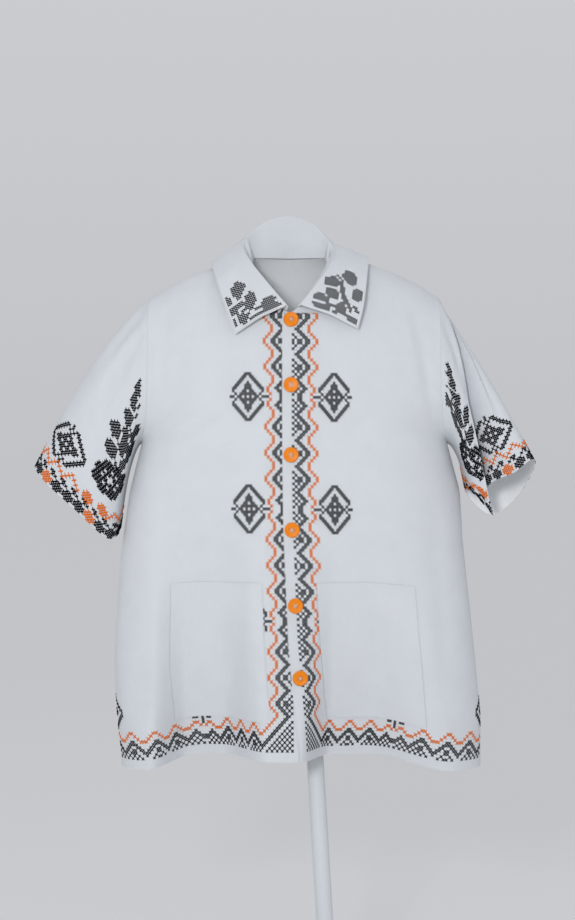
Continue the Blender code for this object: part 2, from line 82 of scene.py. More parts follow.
# Heights on the body, above the hem
ARMPIT = 454.0
CAP_START = 545.0
FRONT_NECK = 632.0
NECK_CORNER = 716.0
NECK_MIDDLE = -5.0
NECK_HALF_WIDTH = 61.0
NECK_POWER = 1.6
NECK_CENTRE = (-5.0, 0.0, 760.0)
TUCKED_CORNER = 6.0

# height, left side, right side, front depth, back depth
BODY = np.array((
    (0, -241, 264, 86, 84),
    (66, -247, 264, 86, 84),
    (148, -252, 257, 86, 83),
    (233, -247, 248, 86, 82),
    (317, -240, 239, 87, 82),
    (386, -230, 235, 88, 82),
    (454, -213, 217, 88, 80),
    (480, -204, 208, 87, 78),
    (527, -201, 203, 84, 76),
    (599, -201, 203, 80, 70),
    (735, -203, 206, 76, 64),
), float)
SECTION_POWER = 2.4
CAP_POWER = 2.2
ARMHOLE_HALF_DEPTH = 60.0
ARMHOLE_BLEND = 4.0

# x, height of the shoulder line
SHOULDER = np.array((
    (-203, 657), (-148, 688), (-111, 702), (-66, 716), (-5, 732), (56, 716),
    (102, 708), (141, 694), (180, 675), (206, 657),
), float)

# The front edge of the layer on top: height, x
EDGE = np.array(
    ((0, 9), (36, 8), (104, 0), (186, -7), (335, -13.5), (437, -15), (640, -15)), float
)
UNDERLAP = 25.0

# Soft troughs in the cloth: side, x of their four edges at the hem, the same at their top,
# depth at the hem, height where they end, how fast they fade
TROUGHS = (
    ("front", (-200, -146, -100, -32), (-186, -150, -110, -60), 74, 470, 1.6),
    ("front", (6, 50, 98, 226), (20, 60, 90, 150), 74, 400, 2.0),
    ("back", (-190, -140, -110, -50), (-170, -140, -120, -80), 52, 430, 1.7),
    ("back", (-46, 12, 40, 96), (-30, 5, 25, 60), 60, 380, 1.8),
    ("back", (104, 150, 176, 222), (110, 150, 160, 200), 44, 450, 1.6),
)

# Creases laid over the troughs: side, x and height of one end, of the other, half width, depth
CREASES = (
    ("front", -186, 520, -170, 90, 15, 2.6),
    ("front", -72, 300, -78, 60, 13, 2.2),
    ("front", 163, 650, 200, 470, 10, 2.6),
    ("front", 148, 655, 178, 520, 8, -1.6),
    ("front", -168, 660, -190, 500, 9, 2.0),
    ("front", 110, 330, 120, 40, 14, 1.8),
    ("front", 188, 400, 214, 90, 13, 2.0),
    ("back", -150, 640, -176, 470, 10, 2.4),
    ("back", 150, 640, 182, 470, 10, 2.4),
    ("back", -60, 560, -110, 200, 14, 2.2),
    ("back", 40, 600, 78, 240, 15, 2.0),
    ("back", -10, 420, -14, 60, 13, 2.0),
    ("back", 190, 380, 206, 60, 12, 2.2),
)

# Rows of the body panels above the hem, and how many run on from the armpit to the top
LOWER_ROWS = (
    0.0, 0.03, 0.08, 0.125, 0.21, 0.28, 0.35, 0.42, 0.49, 0.56, 0.64, 0.72, 0.81, 0.91, 1.0,
)
CAP_ROWS = 11
# Columns from a front edge: steps in millimetres, then shares of the way to the neck's corner,
# then shares of the way from there to the side
NEAR_COLUMNS = (0.0, 8.0, 16.0, 25.0)
NECK_COLUMNS = {"left": (0.5, 0.75, 1.0), "right": (0.3, 0.65, 1.0), "back": (0.33, 0.66, 1.0)}
SHOULDER_COLUMNS = (0.14, 0.28, 0.42, 0.55, 0.67, 0.78, 0.87, 0.94, 0.975, 1.0)
# Fine steps of the shells between two rows or columns of the solids
FINE = 4

# Pockets: first and last row, first and last front column
POCKET_ROWS = (3, 9)
POCKET_COLUMNS = {"left": (4, 10), "right": (4, 10)}
POCKET_LIFT = 1.35
# Width of the placket's band that a pocket's edge leaves whole
PLACKET_CLEAR = 37.0
# How far beside a pocket no part of the hem's rhomb shows
POCKET_MARGIN = 16.0

# Cuffs, round from the underarm over the front: share of the ring, x, y, z
CUFF_LEFT = (
    (0.000, -244, 4, 333), (0.125, -259, -30, 321), (0.250, -303, -50, 363), (0.375, -346, -42, 402),
    (0.500, -362, -8, 422), (0.625, -344, 26, 420), (0.750, -300, 40, 392), (0.875, -258, 28, 352),
)
CUFF_RIGHT = (
    (0.00, 244, 10, 388), (0.10, 248, -42, 386), (0.22, 262, -60, 369), (0.34, 274, -66, 354),
    (0.39, 262, -48, 378), (0.44, 272, -66, 399), (0.50, 298, -98, 413), (0.56, 323, -94, 431),
    (0.62, 331, -56, 417), (0.74, 313, -8, 376), (0.86, 284, 14, 353), (0.94, 258, 20, 368),
)
SLEEVE_ROWS = 44
SLEEVE_BULGE = {-1: 15.0, 1: 9.0}
UNDERARM_BULGE = 8.0
CAP_LIFT = (0.82, 0.57)
UNDERARM_LIFT = (1.0, -0.3)
# side, share of the ring at the armhole, share at the cuff, half width, start and end down
# the sleeve, height
SLEEVE_FOLDS = (
    (1, 0.43, 0.34, 0.06, 0.0, 1.0, 8.0),
    (1, 0.49, 0.39, 0.05, 0.04, 1.1, -13.0),
    (-1, 0.41, 0.38, 0.05, 0.0, 0.4, -4.0),
    (-1, 0.33, 0.28, 0.05, 0.03, 0.5, -5.0),
)

# Collar, from the front end round to the middle of the back: x of its seam on the neckline,
# roll line, outer edge
COLLAR_LEFT_FRONT = (
    (-9, -9, -82, 641, -79, -84, 601),
    (-25, -28, -77, 663, -91, -81, 634),
    (-52, -60, -47, 706, -106, -56, 677),
    (-64, -71, -6, 735, -114, -6, 709),
)
COLLAR_BACK = (
    (-48, -57, 22, 757, -96, 42, 710),
    (-26, -36, 33, 772, -60, 56, 711),
    (-4, -4, 37, 779, -2, 59, 717),
    (18, 29, 33, 767, 57, 56, 712),
    (40, 45, 22, 750, 90, 42, 711),
)
COLLAR_RIGHT_FRONT = (
    (54, 57, -6, 729, 105, -6, 716),
    (44, 53, -45, 704, 102, -56, 684),
    (22, 30, -77, 667, 96, -81, 641),
    (9, 10, -82, 642, 88, -84, 608),
)
COLLAR_COLUMNS = 145
COLLAR_ROWS = 33
# Places of the collar's profile: outward and up from the roll, and from the middle of the fall
STAND_TOP = (-2.6, -2.2)
FALL_TOP = (3.2, -2.0)
CROWN = (1.5, 2.5)
# Share of the seam's shift that the next row of the collar follows
SEAM_FOLLOW = 0.8

# Buttons: height above the hem, along the line beside the edge of the top layer
BUTTON_HEIGHTS = (621, 532, 437, 335, 232, 134)
BUTTON_FROM_EDGE = 12.0
BUTTON_RADIUS = 10.5
BUTTON_SEAT = 0.9
# The button's holes from its middle, and the thread over it: share of that place, height
HOLE_PLACE = 2.0
HOLE_RADIUS = 0.95
THREAD_PATH = (
    (-1.0, 0.8), (-1.0, 2.3), (-0.9, 3.05), (0.0, 3.35), (0.9, 3.05), (1.0, 2.3), (1.0, 0.8),
)

# Embroidered band: its cells across and up. It runs up the placket and along the hem, and its
# chart has a row for each cell along it and a column for each cell across it.
CELL_ACROSS = {"left": 3.46, "right": 3.6, "back": 3.5}
CELL_UP = 3.918
BAND_ABOVE_HEM = 13.5
BAND_FROM_EDGE = 13.0
BAND_REPEAT = 39
RHOMB_ROW = 45
RHOMB_MIDDLE = 16
SIDE_RHOMB = 84
CORNER = 12
TOP_ROW = 166
# x of the middle of the hem's first rhomb on each front, hidden by the pocket
HEM_RHOMB_X = {"left": -128.0, "right": 142.0}
# height, x of the inner edge of the band on the layer underneath
LEFT_BAND = np.array(((0, 1.0), (240, -1.0), (400, -4.2), (640, -5.3)), float)
# By rows from a rhomb: cell of the orange zigzag past its valley, cells of the black lattice
ZIGZAG = (0, 1, 2, 2, 1, 0, 0, 0, 1, 2, 3, 3, 2, 1, 0, 0, 0, 1, 2, 3)
LATTICE = (4, 4, 5, 6, 5, 4, 3, 4, 5, 6, 7, 7, 6, 5, 4, 3, 4, 5, 6, 7)
ZIGZAG_START = 6
# By rows from the middle of a rhomb: half width of its filled heart, and the rings of its outline
HEART = (4, 3, 2, 1, 1, 0)
HEART_HOLES = ((0, 0), (2, 0), (-2, 0), (0, 2), (0, -2))
OUTLINE_RINGS = (8, 9)
RHOMB_REACH = 6

# Sleeves: cell, and for each side the flat place of the pattern's middle and of its two sprays
SLEEVE_CELL = 3.85
SLEEVE_PATTERN = {-1: (-54.0, -98.0, 100.0), 1: (-16.0, -100.0, 96.0)}
# The sleeve's cloth is a little full where it bends away, so cells are wider there
SLEEVE_WIDER = {-1: 1.3, 1: 1.15}
SPRAY_WIDER = 1.3
# How a rosette's cells lean on the front, a step across and a step up it
ROSETTE_LEAN = ((1.45, -0.12), (0.65, 0.96))
SLEEVE_RHOMB_HEIGHT = 62.0
SLEEVE_ZIGZAG = (0, 1, 2, 3, 2, 1)
SLEEVE_ZIGZAG_HEIGHT = 24.0
FLOWER_STEP = 21.0
FLOWER_HEIGHT = 9.0
ORANGE_FLOWER_EVERY = 4
FLOWER = (
    (-1, -2), (0, -2), (-2, -1), (-1, -1), (0, -1), (1, -1), (-2, 0), (-1, 0), (0, 0),
    (1, 0), (-1, 1), (0, 1),
)
FLOWER_STEM = ((1, 2), (2, 3), (3, 3), (-2, 2))
# Under a rosette the zigzag stops for two orange flowers: their places beside the spray, height
LONE_FLOWERS = ((-36.0, 29.0), (-5.0, 32.0))
ZIGZAG_STOPS = (-50.0, 6.0)
# The rosette at the foot of a spray: height of its middle, radius in cells, its holes
ROSETTE_HEIGHT = 74.0
ROSETTE_RADIUS = 6.3
ROSETTE_HOLES = (
    (0, 0), (1, 0), (-1, 0), (0, 1), (0, -1),
    (3, 1), (3, -1), (-3, 1), (-3, -1), (1, 3), (-1, 3), (1, -3), (-1, -3),
)
# Ovals of a spray, later ones leaving a light line round themselves: place beside the spray
# (towards the sleeve's middle), height, direction in degrees, half length, half width
SPRAY = (
    (-8, 150, 90, 56, 5), (-2, 108, 60, 13, 9), (-18, 118, 110, 22, 8), (-24, 160, 112, 24, 8),
    (-4, 136, 80, 22, 9.5), (9, 110, 165, 11, 10), (12, 135, 90, 10, 9.5), (1, 166, 90, 11, 9.5),
    (1, 187, 80, 10.5, 9.5), (8, 204, 70, 10, 9), (-8, 199, 105, 14, 5), (2, 219, 80, 11, 5),
)
# Clear cloth below the armhole's seam
SEAM_CLEAR = 9.0
# Collar corners: cell, and ovals: way up the outer edge, way in from it, the rest as above
COLLAR_CELL = 3.75
COLLAR_SPRAYS = {
    "left": (
        (37, 22, 10, 11, 3.2), (10, 3, 0, 13, 3.2), (3, 16, 90, 16, 2.6), (29, 14, 78, 15, 5.0),
        (21, 20, 80, 10, 2.4), (5, 42, 88, 16, 2.6), (13, 36, 88, 17, 2.6), (52, 25, 0, 10.5, 11.5),
        (27, 36, 20, 13, 8.5), (15, 58, 78, 12, 7.5), (7, 60, 90, 14, 4.0), (47, 4, -35, 11, 5.0),
        (31, 5, -60, 6, 4.0), (12, 18, 0, 7.0, 7.0),
    ),
    "right": (
        (52, 37, 30, 12, 3.4), (39, 35, 0, 13, 3.8), (24, 24, 55, 13, 3.2), (4, 46, 90, 24, 2.8),
        (22, 8, 80, 9, 2.6), (13, 46, 85, 9, 3.0), (64, 25, 0, 11.5, 11.5), (48, 50, 20, 10.5, 11),
        (43, 11, -12, 11, 7.5), (30, 47, 60, 11, 7.5), (18, 60, 75, 12, 7.0), (8, 58, 88, 14, 4.0),
        (14, 30, 8, 8.5, 7.5), (30, 29, 70, 6, 3.0), (7, 11, 75, 11, 5.0),
    ),
}

# Strand of a cross stitch: half width and height as shares of a cell
STRAND_HALF = 0.22
COLLAR_STRAND_HALF = 0.18
STRAND_HEIGHT = 0.22
# How far a cross of the thick orange thread reaches past its cell, as a share of it
BOLD = 0.16

# Sewing: length of a stitch, step to the next one, half width, height
STITCH = (2.6, 3.6, 0.3, 0.3)
HEM_STITCHES = 8.0
CUFF_STITCHES = 4.0
POCKET_STITCHES = 2.2
POCKET_BAND = 36.0
COLLAR_STITCHES = 1.2
PLACKET_STITCHES = 3.0

# Camera: focal length for a 36 mm sensor, distance from the shirt's middle, height
LENS = 63.8
CAMERA_DISTANCE = 2.3
CAMERA_HEIGHT = 0.79
CAMERA_X = -0.0583

# Colour of the backdrop at the horizon, and how much brighter it is straight up, so that the
# far floor takes the same tone
HORIZON = (0.535, 0.545, 0.565)
ZENITH = 1.375


def smooth(t):
    """0 below 0, 1 above 1, soft between."""
    t = np.clip(t, 0.0, 1.0)
    return t * t * (3.0 - 2.0 * t)


def side_x(side, z):
    return np.interp(z, BODY[:, 0], BODY[:, 1 if side < 0 else 2])


def edge_x(z):
    return np.interp(z, EDGE[:, 0], EDGE[:, 1])


def shoulder_z(x):
    return np.interp(x, SHOULDER[:, 0], SHOULDER[:, 1])


def hem_z(x):
    """The hem dips towards the side seams."""
    return 19.0 - 17.0 * smooth((np.abs(x) - 110.0) / 110.0)


def top_z(x, face):
    share = np.minimum(np.abs(x - NECK_MIDDLE) / NECK_HALF_WIDTH, 1.0)
    front = FRONT_NECK + (NECK_CORNER - FRONT_NECK) * share ** NECK_POWER
    neck = front if face == "front" else NECK_CORNER
    return np.where(np.abs(x - NECK_MIDDLE) < NECK_HALF_WIDTH, neck, shoulder_z(x))


def armhole_depth(z):
    share = np.clip((CAP_START - z) / (CAP_START - ARMPIT), 0.0, 1.0)
    return ARMHOLE_HALF_DEPTH * np.sqrt(np.maximum(0.0, 1.0 - share ** CAP_POWER))


def trough_depth(face, x, z):
    depth = np.zeros_like(x)
    for owner, low, high, amount, end, power in TROUGHS:
        if owner != face:
            continue
        rise = np.clip(z / end, 0.0, 1.0)
        a, b, c, d = (low[k] + (high[k] - low[k]) * rise for k in range(4))
        depth += amount * (1.0 - rise) ** power * smooth((x - a) / (b - a)) * smooth((d - x) / (d - c))
    return depth


def crease_depth(face, x, z):
    depth = np.zeros_like(x)
    for owner, x0, z0, x1, z1, half, amount in CREASES:
        if owner != face:
            continue
        length = math.hypot(x1 - x0, z1 - z0)
        along = ((x - x0) * (x1 - x0) + (z - z0) * (z1 - z0)) / length ** 2
        beside = ((x - x0) * (z1 - z0) - (z - z0) * (x1 - x0)) / length
        fade = smooth(along / 0.3) * smooth((1.0 - along) / 0.3)
        depth += amount * fade * np.exp(-(beside / half) ** 2)
    return depth


def body_y(x, z, face):
    """Depth of the body's outer face at x and height z."""
    x = np.asarray(x, float)
    z = np.asarray(z, float)
    left = side_x(-1, z)
    right = side_x(1, z)
    share = np.minimum(np.abs((2.0 * x - left - right) / (right - left)), 1.0)
    bow = (1.0 - share ** SECTION_POWER) ** (1.0 / SECTION_POWER)
    open_side = np.where(z > ARMPIT, armhole_depth(z), 0.0)
    middle = np.interp(z, BODY[:, 0], BODY[:, 3 if face == "front" else 4])
    rise = np.clip((z - CAP_START) / (shoulder_z(x) - CAP_START), 0.0, 1.0)
    closing = np.sqrt(np.maximum(0.0, 1.0 - rise ** CAP_POWER))
    power = ARMHOLE_BLEND
    curved = (open_side ** power * (1.0 - bow ** power) + (middle * bow) ** power) ** (1.0 / power)
    edge = smooth((1.0 - share) / 0.12) * smooth((shoulder_z(x) - z) / 30.0)
    depth = curved * closing - trough_depth(face, x, z) - crease_depth(face, x, z) * edge
    return -depth if face == "front" else depth


def fine_range(last):
    return np.linspace(0.0, last, int(last) * FINE + 1)


def body_rows(low, top):
    """Heights of the fine rows between the hem and the top of a column."""
    steps = fine_range(len(LOWER_ROWS) - 1)
    lower = low + (ARMPIT - low) * np.interp(steps, range(len(LOWER_ROWS)), LOWER_ROWS)
    steps = fine_range(CAP_ROWS)[1:]
    upper = ARMPIT + (top - ARMPIT) * (1.0 - np.cos(np.pi * steps / CAP_ROWS)) / 2.0
    return np.concatenate([lower, upper])


def body_column(place, face, tuck=0.0):
    low = hem_z(place(0.0))
    top = top_z(place(NECK_CORNER), face) - tuck
    z = body_rows(low, top)
    x = place(z)
    return np.stack([x, body_y(x, z, face), z], axis=1)


def columns_past(corner, panel):
    beyond = [corner + (1.0 - corner) * share for share in SHOULDER_COLUMNS]
    return [corner * share for share in NECK_COLUMNS[panel]] + beyond


def front_grid(side, start, tucked):
    """Outer points of a front, rows upward and columns from its edge to the side seam."""

    def near_end(z):
        return edge_x(z) + start + side * NEAR_COLUMNS[-1]

    corner_x = NECK_MIDDLE + side * NECK_HALF_WIDTH
    span = side_x(side, NECK_CORNER) - near_end(NECK_CORNER)
    panel = "left" if side < 0 else "right"
    shares = [0.0] + columns_past((corner_x - near_end(NECK_CORNER)) / span, panel)
    columns = []
    near = len(NEAR_COLUMNS) - 1
    for number in fine_range(near + len(shares) - 1):
        if number <= near:
            step = np.interp(number, range(near + 1), NEAR_COLUMNS)
            tuck = tucked * max(0.0, 1.0 - number / 2.0)
            column = body_column(lambda z: edge_x(z) + start + side * step, "front", tuck)
        else:
            share = np.interp(number - near, range(len(shares)), shares)
            column = body_column(
                lambda z: near_end(z) + (side_x(side, z) - near_end(z)) * share, "front"
            )
        columns.append(column)
    return np.array(columns).transpose(1, 0, 2)


def back_grid():
    """Outer points of the back, columns from the left side seam to the right one."""

    def middle(z):
        return (side_x(-1, z) + side_x(1, z)) / 2.0 + (NECK_MIDDLE - 2.0) * z / NECK_CORNER

    columns = [body_column(middle, "back")]
    for side in (-1, 1):
        corner_x = NECK_MIDDLE + side * NECK_HALF_WIDTH
        start = middle(NECK_CORNER)
        corner = (corner_x - start) / (side_x(side, NECK_CORNER) - start)
        shares = [0.0] + columns_past(corner, "back")
        for number in fine_range(len(shares) - 1)[1:]:
            share = np.interp(number, range(len(shares)), shares)
            column = body_column(lambda z: middle(z) + (side_x(side, z) - middle(z)) * share, "back")
            columns.insert(0 if side < 0 else len(columns), column)
    return np.array(columns).transpose(1, 0, 2)


def normals_of(grid, closed=False, flip=False):
    """Unit normals of a grid of points, from the differences along its rows and columns."""
    if closed:
        across = np.roll(grid, -1, axis=1) - np.roll(grid, 1, axis=1)
    else:
        across = np.gradient(grid, axis=1)
    along = np.gradient(grid, axis=0)
    normal = np.cross(across, along)
    normal = normal / np.maximum(np.linalg.norm(normal, axis=2, keepdims=True), 1e-9)
    return -normal if flip else normal


def shared_normals(first, second):
    mean = first + second
    return mean / np.linalg.norm(mean, axis=-1, keepdims=True)


def in_metres(points):
    return (np.asarray(points, float) + (SHIRT_X, 0.0, HEM_HEIGHT)) * MM


def mesh_object(name, points, faces, material, uv=None, smooth_shaded=True):
    """A mesh from points in the shirt's frame. uv holds a pair for each point."""
    mesh = bpy.data.meshes.new(name)
    mesh.from_pydata(in_metres(points).tolist(), [], faces)
    if uv is not None:
        layer = mesh.uv_layers.new(name="flat")
        index = np.zeros(len(mesh.loops), np.int32)
        mesh.loops.foreach_get("vertex_index", index)
        layer.data.foreach_set("uv", (np.asarray(uv)[index] * MM).ravel().astype(np.float32))
    if smooth_shaded:
        mesh.shade_smooth()
        mesh.set_sharp_from_angle(angle=math.radians(50))
    mesh.materials.append(material)
    made = bpy.data.objects.new(name, mesh)
    bpy.context.scene.collection.objects.link(made)
    return made


def flat_coordinates(grid):
    """Distances across and up a grid of points, as if it were laid flat."""
    across = np.linalg.norm(np.diff(grid, axis=1), axis=2)
    up = np.linalg.norm(np.diff(grid, axis=0), axis=2)
    s = np.concatenate([np.zeros((len(grid), 1)), np.cumsum(across, axis=1)], axis=1)
    t = np.concatenate([np.zeros((1, grid.shape[1])), np.cumsum(up, axis=0)], axis=0)
    return s, t


def shell(name, outer, normal, thickness, materials, closed=False):
    """A thin shell: outer points, the same moved in, and rims. Its UVs are flat distances."""
    rows, count = outer.shape[:2]
    inner = outer - normal * thickness
    points = np.concatenate([outer.reshape(-1, 3), inner.reshape(-1, 3)])
    half = rows * count
    row, place = np.meshgrid(range(rows - 1), range(count if closed else count - 1), indexing="ij")
    a = (row * count + place).ravel()
    b = (row * count + (place + 1) % count).ravel()
    c, d = b + count, a + count
    outside = np.stack([a, b, c, d], axis=1)
    inside = np.stack([a, d, c, b], axis=1) + half
    faces = outside.tolist() + inside.tolist()
    last = count if closed else count - 1
    for end in (0, (rows - 1) * count):
        for k in range(last):
            first, second = end + k, end + (k + 1) % count
            rim = (first, second, second + half, first + half)
            faces.append(rim if end else rim[::-1])
    if not closed:
        for k in (0, count - 1):
            for j in range(rows - 1):
                first, second = j * count + k, (j + 1) * count + k
                rim = (first, second, second + half, first + half)
                faces.append(rim[::-1] if k else rim)
    s, t = flat_coordinates(outer)
    uv = np.stack([s.ravel(), t.ravel()], axis=1)
    piece = mesh_object(name, points, faces, materials[0], np.concatenate([uv, uv]))
    # The inner faces take the second material; for the cloth this is the brighter copy that paints light
    # into the shaded inside
    piece.data.materials.append(materials[1])
    for polygon in piece.data.polygons[len(outside):len(outside) * 2]:
        polygon.material_index = 1
    return piece


def lifted(grid, normal, amount):
    return grid + normal * amount


def flat_map(grid, normal, origin=None, step=2.0):
    """Points and normals of a panel on an even grid of flat distances.

    s runs across from origin, a distance for each row, and t up from the first row.
    """
    s = flat_coordinates(grid)[0]
    if origin is not None:
        s = s - np.asarray(origin)[:, None]
    places = np.arange(math.floor(s.min() / step), math.ceil(s.max() / step) + 1) * step
    both = np.concatenate([grid, normal], axis=2)
    level = np.empty((len(grid), len(places), 6))
    for row in range(len(grid)):
        for axis in range(6):
            level[row, :, axis] = np.interp(places, s[row], both[row, :, axis])
    t = flat_coordinates(level[:, :, :3])[1]
    heights = np.arange(0.0, t.max() + step, step)
    found = np.empty((len(heights), len(places), 6))
    for column in range(len(places)):
        for axis in range(6):
            found[:, column, axis] = np.interp(heights, t[:, column], level[:, column, axis])
    return {"start": places[0], "step": step, "points": found, "top": t[-1], "s": s}


def level_map(grid, normal, origin, step=2.0):
    """Like flat_map, with level rows. t is the distance up the line where s is 0."""
    heights = np.arange(grid[0, :, 2].max(), grid[:, :, 2].max(), step)
    both = np.concatenate([grid, normal], axis=2)
    level = np.empty((len(heights), grid.shape[1], 6))
    for column in range(grid.shape[1]):
        for axis in range(6):
            level[:, column, axis] = np.interp(heights, grid[:, column, 2], both[:, column, axis])
    s = flat_coordinates(level[:, :, :3])[0]
    s = s - np.interp(heights, grid[:, 0, 2], origin)[:, None]
    places = np.arange(math.floor(s.min() / step), math.ceil(s.max() / step) + 1) * step
    found = np.empty((len(heights), len(places), 6))
    for row in range(len(heights)):
        for axis in range(6):
            found[row, :, axis] = np.interp(places, s[row], level[row, :, axis])
    line = found[:, np.searchsorted(places, 0.0), :3]
    climb = heights[0] - grid[0, 0, 2]
    t = climb + np.concatenate([[0.0], np.cumsum(np.linalg.norm(np.diff(line, axis=0), axis=1))])
    even = np.arange(0.0, t[-1], step)
    index = np.interp(even, t, np.arange(len(t)))
    low = np.minimum(index.astype(int), len(t) - 2)
    share = (index - low)[:, None, None]
    table = found[low] * (1 - share) + found[low + 1] * share
    return {"start": places[0], "step": step, "points": table, "s": s,
            "level": np.interp(even, t, heights)}


def on_map(flat, s, t):
    """Points and normals of a flat map at the distances s and t."""
    table = flat["points"]
    u = np.clip((np.asarray(s, float) - flat["start"]) / flat["step"], 0, table.shape[1] - 1.001)
    v = np.clip(np.asarray(t, float) / flat["step"], 0, table.shape[0] - 1.001)
    i, j = u.astype(int), v.astype(int)
    fu, fv = (u - i)[..., None], (v - j)[..., None]
    mixed = (
        table[j, i] * (1 - fu) * (1 - fv) + table[j, i + 1] * fu * (1 - fv)
        + table[j + 1, i] * (1 - fu) * fv + table[j + 1, i + 1] * fu * fv
    )
    points, normals = mixed[..., :3], mixed[..., 3:]
    return points, normals / np.maximum(np.linalg.norm(normals, axis=-1, keepdims=True), 1e-9)


def strands(flat, ends, half, height, lift):
    """Arched half-round strands between pairs of flat places: points and faces."""
    ends = np.asarray(ends, float)
    along = np.array((0.0, 0.22, 0.5, 0.78, 1.0))
    rise = np.array((0.35, 0.85, 1.0, 0.85, 0.35))
    start, finish = ends[:, :2], ends[:, 2:]
    direction = finish - start
    side = np.stack([-direction[:, 1], direction[:, 0]], axis=1)
    side = side / np.linalg.norm(side, axis=1, keepdims=True)
    sections = []
    for u, up in zip(along, rise):
        middle = start + direction * u
        width = half * (0.6 + 0.4 * up)
        for offset, share in ((-1.0, 0.0), (0.0, 1.0), (1.0, 0.0)):
            place = middle + side * (offset * width)
            point, normal = on_map(flat, place[:, 0], place[:, 1])
            sections.append(point + normal * (lift + height * (up * (0.35 + 0.65 * share)) - 0.15))
    points = np.array(sections).transpose(1, 0, 2).reshape(-1, 3)
    each = len(along) * 3
    faces = []
    quads = [
        (k * 3 + c, k * 3 + c + 1, k * 3 + c + 4, k * 3 + c + 3)
        for k in range(len(along) - 1) for c in (0, 1)
    ]
    base = np.array(quads)
    for number in range(len(ends)):
        faces.append(base + number * each)
    return points, np.concatenate(faces).tolist()


def cross_stitches(name, pieces, material, lift=0.0, half=STRAND_HALF):
    """Crosses of two strands. pieces has pairs of a flat map and its cells.

    A cell is its two flat coordinates and its two sizes.
    """
    points, faces = [], []
    count = 0
    bold = BOLD if "orange" in name else 0.0
    for flat, cells in pieces:
        if not cells:
            continue
        s, t, w, h = np.array(cells, float).T
        size = float(np.mean((w + h) / 2.0))
        s0, s1 = s - w * bold, s + w * (1.0 + bold)
        t0, t1 = t - h * bold, t + h * (1.0 + bold)
        for ends, over in (((s0, t0, s1, t1), 0.0), ((s0, t1, s1, t0), 1.0)):
            made = strands(
                flat, np.stack(ends, axis=1), size * half,
                size * STRAND_HEIGHT * (1.0 + 0.35 * over), lift + 0.1 * over,
            )
            points.append(made[0])
            faces += (np.array(made[1]) + count).tolist()
            count += len(made[0])
    return mesh_object(name, np.concatenate(points), faces, material)


def rhomb_cells():
    """Cells of the rhomb, from its middle: across the band, along it."""
    found = [(4, 0), (-4, 0), (-6, 0), (-7, 0), (6, 0), (7, 0)]
    for across in range(-RHOMB_REACH, RHOMB_REACH + 1):
        for along in range(-OUTLINE_RINGS[0], OUTLINE_RINGS[0] + 1):
            outline = abs(across) + abs(along) in OUTLINE_RINGS
            link = abs(across) == 5 and abs(along) == 1
            heart = abs(along) < len(HEART) and abs(across) <= HEART[abs(along)]
            if outline or link or heart and (across, along) not in HEART_HOLES:
                found.append((across, along))
    return found


def from_rhomb(row, rhomb):
    """Rows from the nearest rhomb of the band."""
    return (row - rhomb + BAND_REPEAT // 2) % BAND_REPEAT - BAND_REPEAT // 2


def band_cells(first, last, rhomb=RHOMB_ROW):
    """Black and orange cells of a straight stretch of the band: across it, along it."""
    black, orange = [], []
    for row in range(first, last + 1):
        away = from_rhomb(row, rhomb)
        width = LATTICE[abs(away)]
        for across in range(width):
            checked = across < width - 3 and (across + away) % 2
            heart = width == LATTICE[-1] and across in (2, 3)
            if across >= width - 2 or checked or heart:
                black.append((across, row))
        if away:
            orange.append((ZIGZAG_START + ZIGZAG[abs(away)], row))
        else:
            black.append((RHOMB_MIDDLE - 8, row))
    for middle in range(rhomb, last - RHOMB_REACH + 1, BAND_REPEAT):
        for across, along in rhomb_cells():
            if first <= middle + along <= last:
                black.append((RHOMB_MIDDLE - across, middle + along))
    return black, orange


def corner_cells():
    """The corner where the placket's band meets the hem's."""
    black, orange = [], []
    turn = CORNER + LATTICE[-5]
    for across in range(CORNER + 1):
        for row in range(CORNER + 1):
            ring = across + row
            if ring in (turn - 2, turn - 1) or ring < turn - 3 and ring % 2 == 0:
                black.append((across, row))
            if ring == CORNER + ZIGZAG_START and min(across, row) >= ZIGZAG_START:
                orange.append((across, row))
    return black, orange


def simple_material(name, colour, roughness, **sockets):
    made = bpy.data.materials.new(name)
    made.use_nodes = True
    shader = made.node_tree.nodes["Principled BSDF"]
    shader.inputs["Base Color"].default_value = (*colour, 1.0)
    shader.inputs["Roughness"].default_value = roughness
    for socket, value in sockets.items():
        shader.inputs[socket.replace("_", " ")].default_value = value
    return made, made.node_tree, shader


def add(tree, kind, inputs, **settings):
    """A shader node and its inputs, each a value or another node's output."""
    node = tree.nodes.new("ShaderNode" + kind)
    for name, value in settings.items():
        setattr(node, name, value)
    for name, value in inputs.items():
        if isinstance(value, bpy.types.NodeSocket):
            tree.links.new(value, node.inputs[name])
        else:
            node.inputs[name].default_value = value
    return node


def two_tones(tree, shader, factor, dark, light):
    """Mixes two colours by a factor into the shader's base colour."""
    mix = add(tree, "Mix", {}, data_type="RGBA")
    mix.inputs[6].default_value = (*dark, 1.0)
    mix.inputs[7].default_value = (*light, 1.0)
    tree.links.new(factor, mix.inputs[0])
    tree.links.new(mix.outputs[2], shader.inputs["Base Color"])


